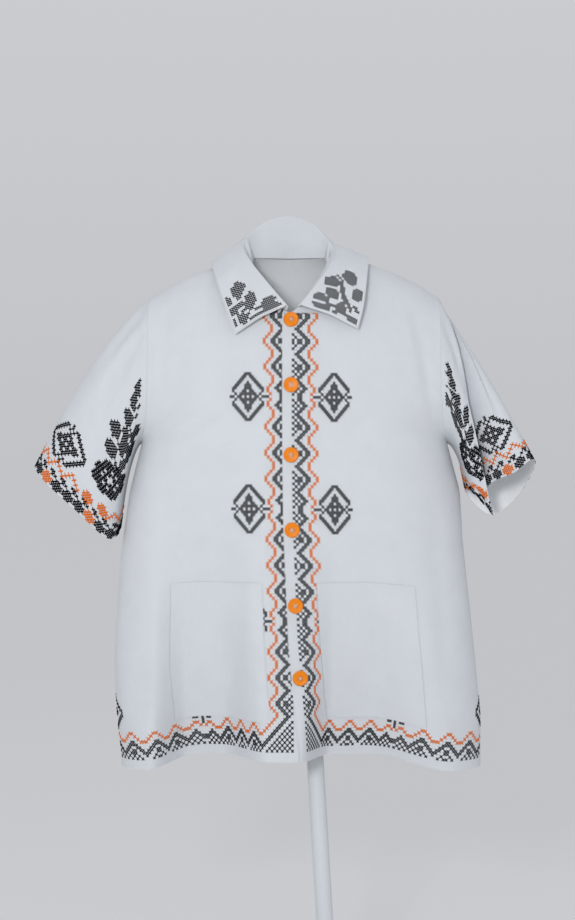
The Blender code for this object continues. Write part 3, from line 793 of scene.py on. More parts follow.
def linen(name, light, dark):
    """White woven cloth: thread-wide weave, slubs and a soft change of tone."""
    made, tree, shader = simple_material(
        name, light, 0.9, Sheen_Weight=0.12, Sheen_Roughness=0.5, Specular_IOR_Level=0.25
    )
    flat = add(tree, "UVMap", {}, uv_map="flat").outputs["UV"]
    tone = add(tree, "TexNoise", {"Scale": 28.0, "Detail": 5.0, "Vector": flat})
    slub = add(tree, "Mapping", {"Scale": (900.0, 60.0, 1.0), "Vector": flat})
    threads = add(tree, "TexNoise", {"Scale": 1.0, "Vector": slub.outputs["Vector"]})
    half = add(tree, "Math", {0: tone.outputs["Fac"], 1: 0.7}, operation="MULTIPLY")
    shares = {0: threads.outputs["Fac"], 1: 0.5, 2: half.outputs[0]}
    both = add(tree, "Math", shares, operation="MULTIPLY_ADD")
    two_tones(tree, shader, both.outputs[0], dark, light)
    waves = [
        add(tree, "TexWave", {"Scale": 520.0, "Distortion": 0.6, "Vector": flat}, bands_direction=way)
        for way in ("X", "Y")
    ]
    heights = {place: wave.outputs["Fac"] for place, wave in enumerate(waves)}
    weave = add(tree, "Math", heights, operation="MULTIPLY")
    fine = add(tree, "Bump", {"Strength": 0.25, "Distance": 0.0003, "Height": weave.outputs[0]})
    soft = add(tree, "TexNoise", {"Scale": 14.0, "Detail": 2.0, "Vector": flat})
    rumple = add(tree, "Bump", {
        "Strength": 0.35, "Distance": 0.008,
        "Height": soft.outputs["Fac"], "Normal": fine.outputs["Normal"],
    })
    tree.links.new(rumple.outputs["Normal"], shader.inputs["Normal"])
    return made


def thread(name, light, dark, sheen):
    """Cotton thread: matt, with darker and lighter stretches and a twist in its bump."""
    made, tree, shader = simple_material(name, light, 0.8, Sheen_Weight=sheen, Specular_IOR_Level=0.1)
    place = add(tree, "TexCoord", {}).outputs["Object"]
    tone = add(tree, "TexNoise", {"Scale": 260.0, "Detail": 3.0, "Vector": place})
    two_tones(tree, shader, tone.outputs["Fac"], dark, light)
    twist = add(tree, "TexWave", {"Scale": 900.0, "Vector": place}, bands_direction="DIAGONAL")
    bump = add(tree, "Bump", {"Strength": 0.4, "Distance": 0.0003, "Height": twist.outputs["Fac"]})
    tree.links.new(bump.outputs["Normal"], shader.inputs["Normal"])
    return made


def plastic(name, light, dark):
    """Glossy button plastic with faint clouds of tone and fine scratches."""
    made, tree, shader = simple_material(name, light, 0.3, Specular_IOR_Level=0.28)
    place = add(tree, "TexCoord", {}).outputs["Object"]
    tone = add(tree, "TexNoise", {"Scale": 180.0, "Detail": 4.0, "Vector": place})
    two_tones(tree, shader, tone.outputs["Fac"], dark, light)
    rough = add(tree, "MapRange", {"To Min": 0.22, "To Max": 0.38, "Value": tone.outputs["Fac"]})
    tree.links.new(rough.outputs["Result"], shader.inputs["Roughness"])
    return made


def paint(name, light, dark):
    """Satin white paint, a little uneven, with a fine orange-peel bump."""
    made, tree, shader = simple_material(name, light, 0.38)
    place = add(tree, "TexCoord", {}).outputs["Object"]
    tone = add(tree, "TexNoise", {"Scale": 9.0, "Detail": 6.0, "Vector": place})
    two_tones(tree, shader, tone.outputs["Fac"], dark, light)
    peel = add(tree, "TexNoise", {"Scale": 420.0, "Vector": place})
    bump = add(tree, "Bump", {"Strength": 0.12, "Distance": 0.0004, "Height": peel.outputs["Fac"]})
    tree.links.new(bump.outputs["Normal"], shader.inputs["Normal"])
    return made


def make_materials():
    outside = linen("white_linen_cloth", (0.655, 0.68, 0.71), (0.57, 0.595, 0.625))
    # Painted light: the inside faces take a brighter copy of the same white linen, lifting in colour the
    # shade that falls inside the shirt
    inside = linen("white_linen_inside_painted_light", (0.88, 0.90, 0.92), (0.80, 0.82, 0.84))
    return {
        "cloth": (outside, inside),
        "black": thread("black_thread", (0.006, 0.007, 0.012), (0.002, 0.003, 0.005), 0.0),
        "orange": thread("orange_thread", (0.82, 0.205, 0.022), (0.60, 0.12, 0.010), 0.0),
        "white": thread("white_thread", (0.70, 0.72, 0.74), (0.55, 0.57, 0.60), 0.1),
        "tan": thread("tan_thread", (0.34, 0.29, 0.25), (0.25, 0.21, 0.18), 0.1),
        "button": plastic("orange_button", (0.86, 0.255, 0.002), (0.74, 0.195, 0.002)),
        # Painted shade: a dark colour standing for the shade down in a button's holes; no piece is given it
        "hole": simple_material("button_hole", (0.10, 0.03, 0.004), 0.6)[0],
        "paint": paint("white_paint_coat", (0.66, 0.69, 0.72), (0.60, 0.63, 0.66)),
    }


def body_grids():
    """Outer grids and normals of the fronts and the back, the top layer lifted at its edge."""
    left = front_grid(-1, UNDERLAP, 0.0)
    right = front_grid(1, 0.0, TUCKED_CORNER)
    back = back_grid()
    n_left = normals_of(left, flip=True)
    n_right = normals_of(right)
    n_back = normals_of(back, flip=True)
    seam = (len(LOWER_ROWS) - 1) * FINE + 1
    for normal, place in ((n_left, 0), (n_right, -1)):
        both = shared_normals(normal[:seam, -1], n_back[:seam, place])
        normal[:seam, -1] = both
        n_back[:seam, place] = both
    shoulder = (len(SHOULDER_COLUMNS)) * FINE + 1
    both = shared_normals(n_right[-1, -shoulder:], n_back[-1, -shoulder:])
    n_right[-1, -shoulder:] = both
    n_back[-1, -shoulder:] = both
    both = shared_normals(n_left[-1, -shoulder:], n_back[-1, :shoulder][::-1])
    n_left[-1, -shoulder:] = both
    n_back[-1, :shoulder] = both[::-1]
    number = fine_range(right.shape[1] // FINE)[: right.shape[1]]
    lift = (WALL + LAYER_GAP) * np.clip((6.0 - number) / 2.0, 0.0, 1.0)
    right_top = right + n_right * lift[None, :, None]
    return {"left": (left, n_left), "right": (right_top, n_right), "back": (back, n_back),
            "right_plain": right}


def armhole_ring(front, back, back_place):
    first = (len(LOWER_ROWS) - 1) * FINE
    return np.concatenate([front[first:, -1], back[first:, back_place][::-1][1:-1]])


def curve_point(knots, u):
    """A place between the middle two of four knots, on the smooth curve through them."""
    p0, p1, p2, p3 = knots
    square = 2 * p0 - 5 * p1 + 4 * p2 - p3
    cube = 3 * p1 - p0 - 3 * p2 + p3
    return 0.5 * (2 * p1 + (p2 - p0) * u + square * u ** 2 + cube * u ** 3)


def ring_spline(table, shares):
    """Points of a closed smooth curve through a table's rows, at shares of the way round."""
    knots = np.array(table, float)
    count = len(knots)
    times = np.append(knots[:, 0], 1.0)
    places = np.vstack([knots[:, 1:], knots[:1, 1:]])
    found = []
    for share in shares:
        span = min(np.searchsorted(times, share, side="right") - 1, count - 1)
        u = (share - times[span]) / (times[span + 1] - times[span])
        found.append(curve_point([places[(span + k) % count] for k in (-1, 0, 1, 2)], u))
    return np.array(found)


def sleeve_grid(ring, shares, cuff, side):
    """Rings of a sleeve from the armhole to the cuff, with the cap's fullness and its folds."""
    target = ring_spline(cuff, shares)
    centre = (ring.mean(axis=0) + target.mean(axis=0)) / 2.0
    axis = target.mean(axis=0) - ring.mean(axis=0)
    axis = axis / np.linalg.norm(axis)
    rings = []
    for row in range(SLEEVE_ROWS + 1):
        t = row / SLEEVE_ROWS
        points = ring + (target - ring) * t
        top = np.clip(np.sin(np.pi * shares), 0.0, 1.0) ** 2
        lift = SLEEVE_BULGE[side] * math.sin(math.pi * t ** 0.8)
        points = points + np.outer(top * lift, (side * CAP_LIFT[0], 0.0, CAP_LIFT[1]))
        under = UNDERARM_BULGE * math.sin(math.pi * math.sqrt(t))
        points = points + np.outer((1.0 - top) * under, (side * UNDERARM_LIFT[0], 0.0, UNDERARM_LIFT[1]))
        outward = points - centre
        outward = outward - np.outer(outward @ axis, axis)
        outward = outward / np.linalg.norm(outward, axis=1, keepdims=True)
        for owner, high, low, half, start, end, height in SLEEVE_FOLDS:
            if owner != side or not start < t < end:
                continue
            here = high + (low - high) * t
            near = np.clip(1.0 - abs(shares - here) / half, 0.0, 1.0)
            along = math.sin(math.pi * ((t - start) / (end - start)) ** 0.7)
            points = points + outward * (smooth(near) * height * along)[:, None]
        rings.append(points)
    return np.array(rings)


def make_body(panels, looks):
    made = {}
    for name, key, turn in (
        ("front_right_side", "left", -1), ("front_left_side", "right", 1), ("back", "back", -1)
    ):
        grid, normal = panels[key]
        piece = shell(name + "_cloth", grid[:, ::turn], normal[:, ::turn], SHELL, looks["cloth"])
        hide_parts(name)
        made[name] = piece
    return made


def make_sleeves(panels, looks):
    made = {}
    for name, key, place, cuff, side in (
        ("sleeve_right", "left", 0, CUFF_LEFT, -1), ("sleeve_left", "right", -1, CUFF_RIGHT, 1)
    ):
        grid = panels[key][0]
        ring = armhole_ring(grid, panels["back"][0], place)
        shares = np.arange(len(ring)) / len(ring)
        points = sleeve_grid(ring, shares, cuff, side)
        normals = normals_of(points, closed=True, flip=side > 0)
        points[0] = points[0] + np.array((side * SLEEVE_GAP, 0.0, 0.0))
        piece = shell(name + "_cloth", points, normals, SHELL, looks["cloth"], closed=True)
        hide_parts(name)
        made[name] = (piece, points, normals)
    return made


def make_pockets(panels, looks):
    made = {}
    rows = slice(POCKET_ROWS[0] * FINE, POCKET_ROWS[1] * FINE + 1)
    for name, key in (("pocket_right", "left"), ("pocket_left", "right")):
        grid, normal = panels[key]
        first, last = POCKET_COLUMNS[key]
        span = slice(first * FINE, last * FINE + 1)
        turn = -1 if key == "left" else 1
        outer = lifted(grid[rows, span], normal[rows, span], POCKET_LIFT)[:, ::turn]
        piece = shell(name + "_cloth", outer, normal[rows, span][:, ::turn], POCKET_SHELL, looks["cloth"])
        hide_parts(name)
        made[name] = (piece, outer, normal[rows, span][:, ::turn])
    return made


def collar_rows(rims):
    """Seam, roll and edge points and the body's normal across the collar's columns."""
    rows = np.array(COLLAR_LEFT_FRONT + COLLAR_BACK + COLLAR_RIGHT_FRONT, float)
    found = []
    for step in np.linspace(0.0, len(rows) - 1.0, COLLAR_COLUMNS):
        span = min(int(step), len(rows) - 2)
        row = curve_point([rows[min(max(span + k, 0), len(rows) - 1)] for k in (-1, 0, 1, 2)], step - span)
        corners = (len(COLLAR_LEFT_FRONT) - 0.5, len(COLLAR_LEFT_FRONT + COLLAR_BACK) - 0.5)
        rim = rims[0] if step < corners[0] else rims[1] if step < corners[1] else rims[2]
        order = np.argsort(rim[:, 0])
        seam = np.array([np.interp(row[0], rim[order, 0], rim[order, k]) for k in range(6)])
        found.append((seam[:3], row[1:4], row[4:7], seam[3:]))
    return found


def collar_profile(seam, roll, edge):
    """Across the collar: up the stand, over the roll, down the fall to the outer edge."""
    out = edge - seam
    out = out - np.array((0.0, 0.0, out[2]))
    out = out / np.linalg.norm(out)
    up = np.array((0.0, 0.0, 1.0))
    stand_top = roll + out * STAND_TOP[0] + up * STAND_TOP[1]
    fall_top = roll + out * FALL_TOP[0] + up * FALL_TOP[1]
    crown = (roll + edge) / 2.0 + out * CROWN[0] + up * CROWN[1]
    return [
        seam, seam * 0.5 + stand_top * 0.5, stand_top, roll, fall_top,
        fall_top * 0.55 + crown * 0.45, crown, crown * 0.5 + edge * 0.5, edge,
    ]


def through(points, count):
    """A smooth curve through points, resampled to count places even in its knots."""
    points = np.asarray(points, float)
    last = len(points) - 1
    found = []
    for step in np.linspace(0.0, last, count):
        span = min(int(step), last - 1)
        found.append(curve_point([points[min(max(span + k, 0), last)] for k in (-1, 0, 1, 2)], step - span))
    return np.array(found)


def make_collar(panels, looks):
    rims = [np.hstack([panels[key][0][-1] - panels[key][1][-1] * WALL, panels[key][1][-1]])
            for key in ("left", "back", "right")]
    rows = collar_rows(rims)
    grid = np.array([collar_profile(*row[:3]) for row in rows]).transpose(1, 0, 2)
    body = np.array([row[3] for row in rows])
    away = np.cross(np.gradient(grid[0], axis=0), body)
    away = away / np.linalg.norm(away, axis=1, keepdims=True)
    away = away * np.sign(np.sum(away * (np.array(NECK_CENTRE) - grid[0]), axis=1))[:, None]
    facing = np.sum(normals_of(grid)[:2] * away, axis=2).max(axis=0).clip(0.0, 1.0)
    clear = away * (COLLAR_GAP + facing * COLLAR_WALL)[:, None]
    grid[0] = grid[0] + clear
    grid[1] = grid[1] + clear * SEAM_FOLLOW
    fine = np.array([through(grid[:, k], COLLAR_ROWS) for k in range(grid.shape[1])])
    fine = fine.transpose(1, 0, 2)
    normals = normals_of(fine)
    piece = shell("collar_cloth", fine, normals, COLLAR_SHELL, looks["cloth"])
    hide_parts("collar")
    return piece, fine, normals


def band_places(cell, middle, total):
    """Edges of the band's cells along the hem, with the middles of its rhombs given."""
    rows = (-1.0, CORNER, RHOMB_ROW + 0.5, SIDE_RHOMB + 0.5, SIDE_RHOMB + BAND_REPEAT + 0.5)
    places = (-cell, CORNER * cell, middle, total, total * 2.0 - middle)

    def start(number):
        return float(np.interp(number, rows, places))

    return start


def band_height(row):
    return BAND_ABOVE_HEM + row * CELL_UP


def placed(cells, across, up):
    """Flat places and sizes of cells given by column and row."""
    return [
        (across(i), up(j), across(i + 1) - across(i), up(j + 1) - up(j)) for i, j in cells
    ]


def front_band(panels, key):
    """The L of bands on one front: its flat map, black cells and orange cells."""
    grid, normal = panels[key]
    s = flat_coordinates(grid)[0]
    if key == "left":
        inner = np.interp(grid[:, 0, 2], LEFT_BAND[:, 0], LEFT_BAND[:, 1])
        origin = [np.interp(-inner[r], -grid[r, :, 0], s[r]) for r in range(len(grid))]
    else:
        origin = np.full(len(grid), BAND_FROM_EDGE)
    upright = level_map(grid, normal, origin)
    hem = flat_map(grid, normal, origin)
    side_row = np.searchsorted(grid[:, -1, 2], 60.0)
    facing = -1.0 if key == "left" else 1.0
    line = facing * grid[side_row, :, 0], hem["s"][side_row]
    across = band_places(CELL_ACROSS[key], np.interp(facing * HEM_RHOMB_X[key], *line), line[1][-1])
    corner = corner_cells()
    placket = band_cells(CORNER + 1, TOP_ROW)
    border = band_cells(CORNER + 1, SIDE_RHOMB + RHOMB_REACH + 1)
    cells = {}
    for number, colour in enumerate(("black", "orange")):
        turned = [(row, column) for column, row in border[number]]
        cells[colour] = (
            (upright, placed(corner[number] + placket[number], across, band_height)),
            (hem, placed(turned, across, band_height)),
        )
    return hem, cells


def make_front_stitches(panels, looks):
    made = {}
    for key, name in (("left", "front_right_side"), ("right", "front_left_side")):
        hem, cells = front_band(panels, key)
        grid = panels[key][0]
        ends = [grid[row * FINE] for row in POCKET_ROWS]
        ends = [end[np.argsort(end[:, 0])] for end in ends]
        sides = [grid[:, column * FINE] for column in POCKET_COLUMNS[key]]

        def kept(flat, cell):
            middle = cell[0] + cell[2] / 2, cell[1] + cell[3] / 2
            point = on_map(flat, *middle)[0]
            low, high = (np.interp(point[0], end[:, 0], end[:, 2]) for end in ends)
            first, last = sorted(np.interp(point[2], side[:, 2], side[:, 0]) for side in sides)
            if "level" not in flat:
                first, last = first - POCKET_MARGIN, last + POCKET_MARGIN
            beside_placket = "level" in flat and cell[0] < PLACKET_CLEAR
            if first < point[0] < last and low < point[2] < high and not beside_placket:
                return False
            if key == "left" and point[0] > edge_x(point[2]) + 3.0:
                return False
            if "level" in flat:
                row = min(int((cell[1] + cell[3]) / flat["step"]) + 1, len(flat["level"]) - 1)
                return point[2] > flat["level"][row] - 8.0
            return middle[0] < hem["s"][20, -1]

        for colour in ("black", "orange"):
            pieces = []
            for flat, placed_cells in cells[colour]:
                pieces.append((flat, [cell for cell in placed_cells if kept(flat, cell)]))
            label = name + "_" + colour
            made[label] = cross_stitches(label + "_stitches", pieces, looks[colour])
    return made


def make_back_stitches(panels, looks):
    grid, normal = panels["back"]
    flat = flat_map(grid, normal)
    side_row = np.searchsorted(grid[:, -1, 2], 60.0)
    total = flat["s"][side_row, -1]
    repeats = round(total / (BAND_REPEAT * CELL_ACROSS["back"]))
    along = total / (repeats * BAND_REPEAT)
    black, orange = band_cells(0, repeats * BAND_REPEAT + RHOMB_REACH, rhomb=0)

    def across(number):
        return (number - 0.5) * along

    made = {}
    for colour, cells in (("black", black), ("orange", orange)):
        cells = sorted({(row, column) for column, row in cells})
        cells = placed(cells, across, band_height)
        cells = [cell for cell in cells if 0 < cell[0] + cell[2] / 2 < total]
        label = "back_" + colour
        made[label] = cross_stitches(label + "_stitches", [(flat, cells)], looks[colour])
    return made


def ovals(table, cell, clear=0.8):
    """Cells inside a table's ovals, each with a light line round it where it meets the others."""
    found = set()
    for s, t, degrees, length, width in table:
        angle = math.radians(degrees)
        reach = int((length + width) / cell) + 2
        for i in range(int(s / cell) - reach, int(s / cell) + reach + 1):
            for j in range(int(t / cell) - reach, int(t / cell) + reach + 1):
                across, up = (i + 0.5) * cell - s, (j + 0.5) * cell - t
                along = across * math.cos(angle) + up * math.sin(angle)
                beside = up * math.cos(angle) - across * math.sin(angle)
                if (along / length) ** 2 + (beside / width) ** 2 < 1.0:
                    found.add((i, j))
                elif (along / (length + clear * cell)) ** 2 + (beside / (width + clear * cell)) ** 2 < 1.0:
                    found.discard((i, j))
    return found


def rosette_cells():
    found = []
    for i in range(-7, 8):
        for j in range(-7, 8):
            lobe = 0.35 * math.cos(8.0 * math.atan2(j, i))
            if math.hypot(i, j) < ROSETTE_RADIUS + lobe and (i, j) not in ROSETTE_HOLES:
                found.append((i, j))
    return found


def around(cells, s, t, wide, high):
    """Flat places of cells that are counted from a middle."""
    return [(s + (i - 0.5) * wide, t + (j - 0.5) * high, wide, high) for i, j in cells]


def sleeve_cells(side, low, high):
    """Black and orange cells of a sleeve whose cuff runs from low to high."""
    middle, front, back = SLEEVE_PATTERN[side]
    cell = SLEEVE_CELL
    wide = cell * SLEEVE_WIDER[side]
    black = around([(i, j) for j, i in rhomb_cells()], middle, SLEEVE_RHOMB_HEIGHT, wide, cell)
    orange = []
    stops = []
    for spray, facing in ((middle + front, 1.0), (middle + back, -1.0)):
        wider = wide * SPRAY_WIDER
        (ai, bi), (aj, bj) = ROSETTE_LEAN if facing > 0 else ((SLEEVE_WIDER[side], 0.0), (0.0, 1.0))
        for i, j in rosette_cells():
            s = spray - facing * (ai * i + aj * j) * cell
            t = ROSETTE_HEIGHT + (bi * i + bj * j) * cell
            black.append((s - ai * cell / 2.0, t - cell / 2.0, ai * cell, cell))
        for i, j in ovals(SPRAY, cell):
            black.append((spray + facing * (i + 0.5) * wider - wider / 2.0, j * cell, wider, cell))
        for place, height in LONE_FLOWERS:
            orange += around(FLOWER, spray - facing * place, height, wide, cell)
        stops.append(sorted(spray - facing * stop for stop in ZIGZAG_STOPS))
    count = round((high - low) / FLOWER_STEP)
    step = (high - low) / count
    first = math.ceil((low - middle - FLOWER_STEP / 2.0) / step)
    for number in range(first, first + count):
        s = middle + FLOWER_STEP / 2.0 + number * step
        flower = around(FLOWER, s, FLOWER_HEIGHT, wide, cell)
        if number % ORANGE_FLOWER_EVERY == 0:
            orange += flower
        else:
            black += flower
        black += around(FLOWER_STEM, s, FLOWER_HEIGHT, wide, cell)
    for number in range(math.ceil((low - middle) / wide), math.floor((high - middle) / wide)):
        s = middle + number * wide
        if not any(first < s < last for first, last in stops):
            height = SLEEVE_ZIGZAG_HEIGHT + SLEEVE_ZIGZAG[(number + 3) % len(SLEEVE_ZIGZAG)] * cell
            orange.append((s - wide / 2.0, height - cell / 2.0, wide, cell))
    return {"black": black, "orange": orange}


def sleeve_panel(sleeve):
    """A sleeve's points and normals from the cuff up, closed by its first column again."""
    return [np.concatenate([part, part[:, :1]], axis=1)[::-1] for part in sleeve[1:]]


def make_sleeve_stitches(sleeves, looks):
    made = {}
    for name, side in (("sleeve_right", -1), ("sleeve_left", 1)):
        grid, normal = sleeve_panel(sleeves[name])
        s = flat_coordinates(grid)[0]
        top_line = (grid.shape[1] - 1) / 2.0
        flat = flat_map(grid, normal, [np.interp(top_line, range(len(row)), row) for row in s])
        low, high = flat["s"][0, 0], flat["s"][0, -1]
        places = flat["start"] + np.arange(len(flat["top"])) * flat["step"]
        for colour, cells in sleeve_cells(side, low, high).items():
            kept = [
                cell for cell in cells
                if cell[1] + cell[3] + SEAM_CLEAR < np.interp(cell[0], places, flat["top"])
            ]
            made[name + "_" + colour] = cross_stitches(
                "%s_%s_stitches" % (name, colour), [(flat, kept)], looks[colour]
            )
    return made


def make_collar_stitches(collar, looks):
    _, fine, normals = collar
    pieces = []
    for key, turn in (("left", 1), ("right", -1)):
        flat = flat_map(fine[::-1, ::turn], normals[::-1, ::turn])
        cell = COLLAR_CELL
        cells = [(i * cell, j * cell, cell, cell) for i, j in ovals(COLLAR_SPRAYS[key], cell, 0.5)]
        pieces.append((flat, [place for place in cells if place[0] > 1.0 and place[1] > 1.0]))
    made = cross_stitches("collar_black_stitches", pieces, looks["black"], half=COLLAR_STRAND_HALF)
    return {"collar_black": made}


def sewn(name, lines, material):
    """Short stitches along lines of flat places: pairs of a flat map and its places."""
    length, step, half, height = STITCH
    points, faces = [], []
    count = 0
    for flat, line in lines:
        line = np.asarray(line, float)
        way = np.concatenate([[0.0], np.cumsum(np.linalg.norm(np.diff(line, axis=0), axis=1))])
        starts = np.arange(0.6, way[-1] - length, step)
        ends = [np.interp(starts + more, way, line[:, k]) for more in (0.0, length) for k in (0, 1)]
        made = strands(flat, np.stack(ends, axis=1), half, height, 0.0)
        points.append(made[0])
        faces += (np.array(made[1]) + count).tolist()
        count += len(made[0])
    return mesh_object(name, np.concatenate(points), faces, material)


def make_sewing(panels, sleeves, pocket_pieces, collar, looks):
    made = {}
    for key, name in (("left", "front_right_side"), ("right", "front_left_side"), ("back", "back")):
        grid, normal = panels[key]
        flat = flat_map(grid, normal)
        lines = [(flat, [(2.0, HEM_STITCHES), (flat["s"][0, -1] - 2.0, HEM_STITCHES)])]
        if key == "right":
            ends = (HEM_STITCHES, flat["top"][2] - 6.0)
            lines.append((flat, [(PLACKET_STITCHES, end) for end in ends]))
        made[name + "_sewing"] = sewn(name + "_sewing", lines, looks["white"])
    for name in sleeves:
        flat = flat_map(*sleeve_panel(sleeves[name]))
        line = [(0.0, CUFF_STITCHES), (flat["s"][0, -1], CUFF_STITCHES)]
        made[name + "_sewing"] = sewn(name + "_sewing", [(flat, line)], looks["white"])
    for name, (_, grid, normal) in pocket_pieces.items():
        flat = flat_map(grid, normal)
        inset = POCKET_STITCHES
        wide, high = flat["s"][0, -1] - inset, float(flat["top"].min()) - inset
        top = flat["s"][-1, -1] - inset
        edge = [(inset, high), (inset, inset), (wide, inset), (top, high)]
        band = [(inset, high - POCKET_BAND), (wide, high - POCKET_BAND)]
        upper = [(inset, high), (top, high)]
        lines = [(flat, edge), (flat, band), (flat, upper)]
        made[name + "_sewing"] = sewn(name + "_sewing", lines, looks["white"])
    _, fine, normals = collar
    flat = flat_map(fine[::-1], normals[::-1])
    inset = COLLAR_STITCHES
    long = flat["s"][0, -1] - inset
    deep = float(flat["top"][1]) * 0.7
    far = [(long, inset), (flat["s"][len(fine) * 2 // 3, -1] - inset, deep)]
    line = [(inset, deep), (inset, inset)] + far
    made["collar_sewing"] = sewn("collar_sewing", [(flat, line)], looks["tan"])
    return made


def make_button_mesh(looks):
    """One button, face up: a rim, a dished middle and four holes."""
    profile = (
        (0.0, 0.0), (0.93, 0.0), (0.985, 0.45), (1.0, 1.2), (0.995, 2.0), (0.96, 2.9), (0.90, 3.4),
        (0.83, 3.5), (0.76, 3.2), (0.70, 2.8), (0.60, 2.55), (0.40, 2.45), (0.0, 2.4),
    )
    sides = 48
    mesh = bpy.data.meshes.new("button_form")
    form = bmesh.new()
    rings = []
    for share, height in profile:
        if share == 0.0:
            rings.append([form.verts.new((0.0, 0.0, height * MM))])
            continue
        radius = share * BUTTON_RADIUS * MM
        turns = [math.tau * k / sides for k in range(sides)]
        rings.append([
            form.verts.new((radius * math.cos(turn), radius * math.sin(turn), height * MM))
            for turn in turns
        ])
    for low, high in zip(rings, rings[1:]):
        for k in range(sides):
            after = (k + 1) % sides
            if len(low) == 1:
                form.faces.new((low[0], high[after], high[k]))
            elif len(high) == 1:
                form.faces.new((low[k], low[after], high[0]))
            else:
                form.faces.new((low[k], low[after], high[after], high[k]))
    bmesh.ops.recalc_face_normals(form, faces=form.faces)
    form.to_mesh(mesh)
    form.free()
    mesh.materials.append(looks["button"])
    button = bpy.data.objects.new("button_form", mesh)
    bpy.context.scene.collection.objects.link(button)
    cutters = []
    for x, y in ((1, 1), (-1, 1), (-1, -1), (1, -1)):
        place = (x * HOLE_PLACE * MM, y * HOLE_PLACE * MM, 0)
        bpy.ops.mesh.primitive_cylinder_add(
            vertices=20, radius=HOLE_RADIUS * MM, depth=12 * MM, location=place
        )
        cutter = bpy.context.object
        cutter.data.materials.append(looks["button"])
        cutters.append(cutter)
        cut = button.modifiers.new("hole", "BOOLEAN")
        cut.operation = "DIFFERENCE"
        cut.solver = "EXACT"
        cut.object = cutter
    bpy.context.view_layer.update()
    done = bpy.data.meshes.new_from_object(button.evaluated_get(bpy.context.evaluated_depsgraph_get()))
    for thing in [button] + cutters:
        bpy.data.objects.remove(thing)
    done.shade_smooth()
    done.set_sharp_from_angle(angle=math.radians(40))
    return done


def button_place(x, height):
    """A button's seat on the front and its three directions: across, up and outward."""
    step = 4.0

    def depth(more_x, more_height):
        return float(body_y(x + more_x, height + more_height, "front"))

    across = np.array((2 * step, depth(step, 0.0) - depth(-step, 0.0), 0.0))
    upward = np.array((0.0, depth(0.0, step) - depth(0.0, -step), 2 * step))
    across = across / np.linalg.norm(across)
    outward = np.cross(across, upward / np.linalg.norm(upward))
    outward = outward / np.linalg.norm(outward)
    seat = np.array((x, depth(0.0, 0.0), height)) + outward * (WALL + LAYER_GAP + BUTTON_SEAT)
    return seat, across, np.cross(outward, across), outward


def make_buttons(looks):
    mesh = make_button_mesh(looks)
    for number, height in enumerate(BUTTON_HEIGHTS, 1):
        seat, across, upward, outward = button_place(edge_x(height) + BUTTON_FROM_EDGE, height)
        turn = math.radians(17.0 * ((number * 5) % 4) - 20.0)
        right = across * math.cos(turn) + upward * math.sin(turn)
        up = upward * math.cos(turn) - across * math.sin(turn)
        piece = bpy.data.objects.new("button_%d_look" % number, mesh.copy())
        bpy.context.scene.collection.objects.link(piece)
        frame = np.stack([right, up, outward], axis=1)
        co = np.array([v.co for v in piece.data.vertices]) / MM
        piece.data.vertices.foreach_set("co", in_metres(co @ frame.T + seat).ravel())
        piece.data.update()
        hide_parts("button_%d" % number)
        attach(piece, "root")
        bars = []
        for way in (1.0, -1.0):
            path = [(share * HOLE_PLACE, share * way * HOLE_PLACE, rise) for share, rise in THREAD_PATH]
            bars.append(np.array(path) @ frame.T + seat)
        strand = tubes("button_%d_thread" % number, bars, 0.42, 6, looks["white"])
        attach(strand, "root")


def tubes(name, paths, radius, sides, material):
    """Round tubes along paths of points, joined in one mesh."""
    points, faces = [], []
    for path in paths:
        path = np.asarray(path, float)
        along = np.gradient(path, axis=0)
        along = along / np.linalg.norm(along, axis=1, keepdims=True)
        reference = np.array((0.31, -0.87, 0.38))
        first = np.cross(along, reference)
        first = first / np.linalg.norm(first, axis=1, keepdims=True)
        second = np.cross(along, first)
        base = len(points)
        for k in range(len(path)):
            for side in range(sides):
                angle = math.tau * side / sides
                points.append(path[k] + (first[k] * math.cos(angle) + second[k] * math.sin(angle)) * radius)
        for k in range(len(path) - 1):
            for side in range(sides):
                a = base + k * sides + side
                b = base + k * sides + (side + 1) % sides
                faces.append((a, b, b + sides, a + sides))
        faces.append(tuple(base + side for side in range(sides))[::-1])
        faces.append(tuple(base + (len(path) - 1) * sides + side for side in range(sides)))
    return mesh_object(name, np.array(points), faces, material)


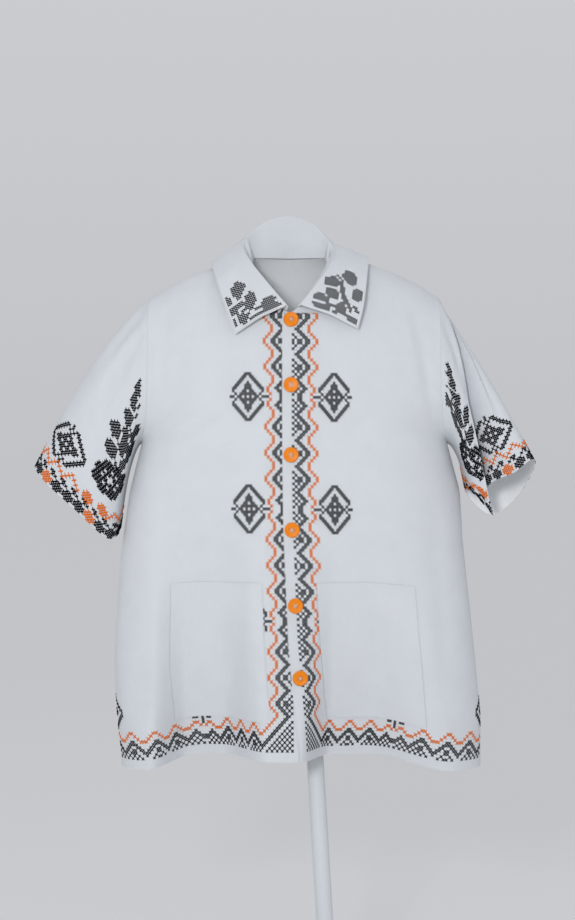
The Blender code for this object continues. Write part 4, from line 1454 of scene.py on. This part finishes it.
def make_stage():
    floor_mesh = bpy.data.meshes.new("floor")
    form = bmesh.new()
    bmesh.ops.create_circle(form, cap_ends=True, segments=128, radius=60.0)
    form.to_mesh(floor_mesh)
    form.free()
    look, _, shader = simple_material("pale_floor", (0.80, 0.80, 0.80), 1.0)
    shader.inputs["Specular IOR Level"].default_value = 0.0
    floor_mesh.materials.append(look)
    floor = bpy.data.objects.new("floor", floor_mesh)
    bpy.context.scene.collection.objects.link(floor)

    world = bpy.data.worlds.new("pale_studio")
    world.use_nodes = True
    nodes, links = world.node_tree.nodes, world.node_tree.links
    place = nodes.new("ShaderNodeTexCoord")
    parts = nodes.new("ShaderNodeSeparateXYZ")
    links.new(place.outputs["Generated"], parts.inputs["Vector"])
    sky = nodes.new("ShaderNodeMix")
    sky.data_type = "RGBA"
    sky.inputs[6].default_value = (*HORIZON, 1.0)
    sky.inputs[7].default_value = (*(tone * ZENITH for tone in HORIZON), 1.0)
    links.new(parts.outputs["Z"], sky.inputs[0])
    links.new(sky.outputs[2], nodes["Background"].inputs["Color"])
    bpy.context.scene.world = world

    for name, kind, place, target, energy, size in (
        ("key", "AREA", (-0.55, -2.4, 1.2), (-0.05, 0.0, 0.74), 10.2, 0.4),
        ("fill", "AREA", (1.9, -2.2, 1.4), (-0.05, 0.0, 0.8), 1.65, 1.6),
    ):
        lamp = bpy.data.lights.new(name, kind)
        lamp.energy = energy
        lamp.size = size
        lamp.spread = math.radians(120.0)
        thing = bpy.data.objects.new(name, lamp)
        thing.location = place
        direction = np.array(target) - np.array(place)
        thing.rotation_euler = look_rotation(direction)
        bpy.context.scene.collection.objects.link(thing)


def look_rotation(direction):
    x, y, z = direction
    flat = math.hypot(x, y)
    return (math.atan2(flat, -z), 0.0, math.atan2(-x, y))


def make_camera():
    data = bpy.data.cameras.new("camera")
    data.sensor_width = 36.0
    data.lens = LENS
    camera = bpy.data.objects.new("camera", data)
    camera.location = (CAMERA_X, -CAMERA_DISTANCE, CAMERA_HEIGHT)
    camera.rotation_euler = (math.pi / 2, 0.0, 0.0)
    bpy.context.scene.collection.objects.link(camera)
    bpy.context.scene.camera = camera
    bpy.context.scene.view_settings.view_transform = "Standard"


def main():
    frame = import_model()
    make_camera()
    make_stage()
    looks = make_materials()
    for node in ("stand_foot", "stand_pole", "stand_shoulder_bar"):
        for slot in frame["nodes"][node].material_slots:
            slot.material = looks["paint"]

    panels = body_grids()
    body = make_body(panels, looks)
    sleeves = make_sleeves(panels, looks)
    pocket_pieces = make_pockets(panels, looks)
    collar = make_collar(panels, looks)
    stitches = make_front_stitches(panels, looks)
    stitches.update(make_back_stitches(panels, looks))
    stitches.update(make_sleeve_stitches(sleeves, looks))
    stitches.update(make_collar_stitches(collar, looks))
    stitches.update(make_sewing(panels, sleeves, pocket_pieces, collar, looks))
    make_buttons(looks)

    cloth = list(body.values()) + [s[0] for s in sleeves.values()]
    cloth += [p[0] for p in pocket_pieces.values()] + [collar[0]]
    for piece in cloth:
        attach(piece, "root")
    for piece in stitches.values():
        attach(piece, "root")


main()
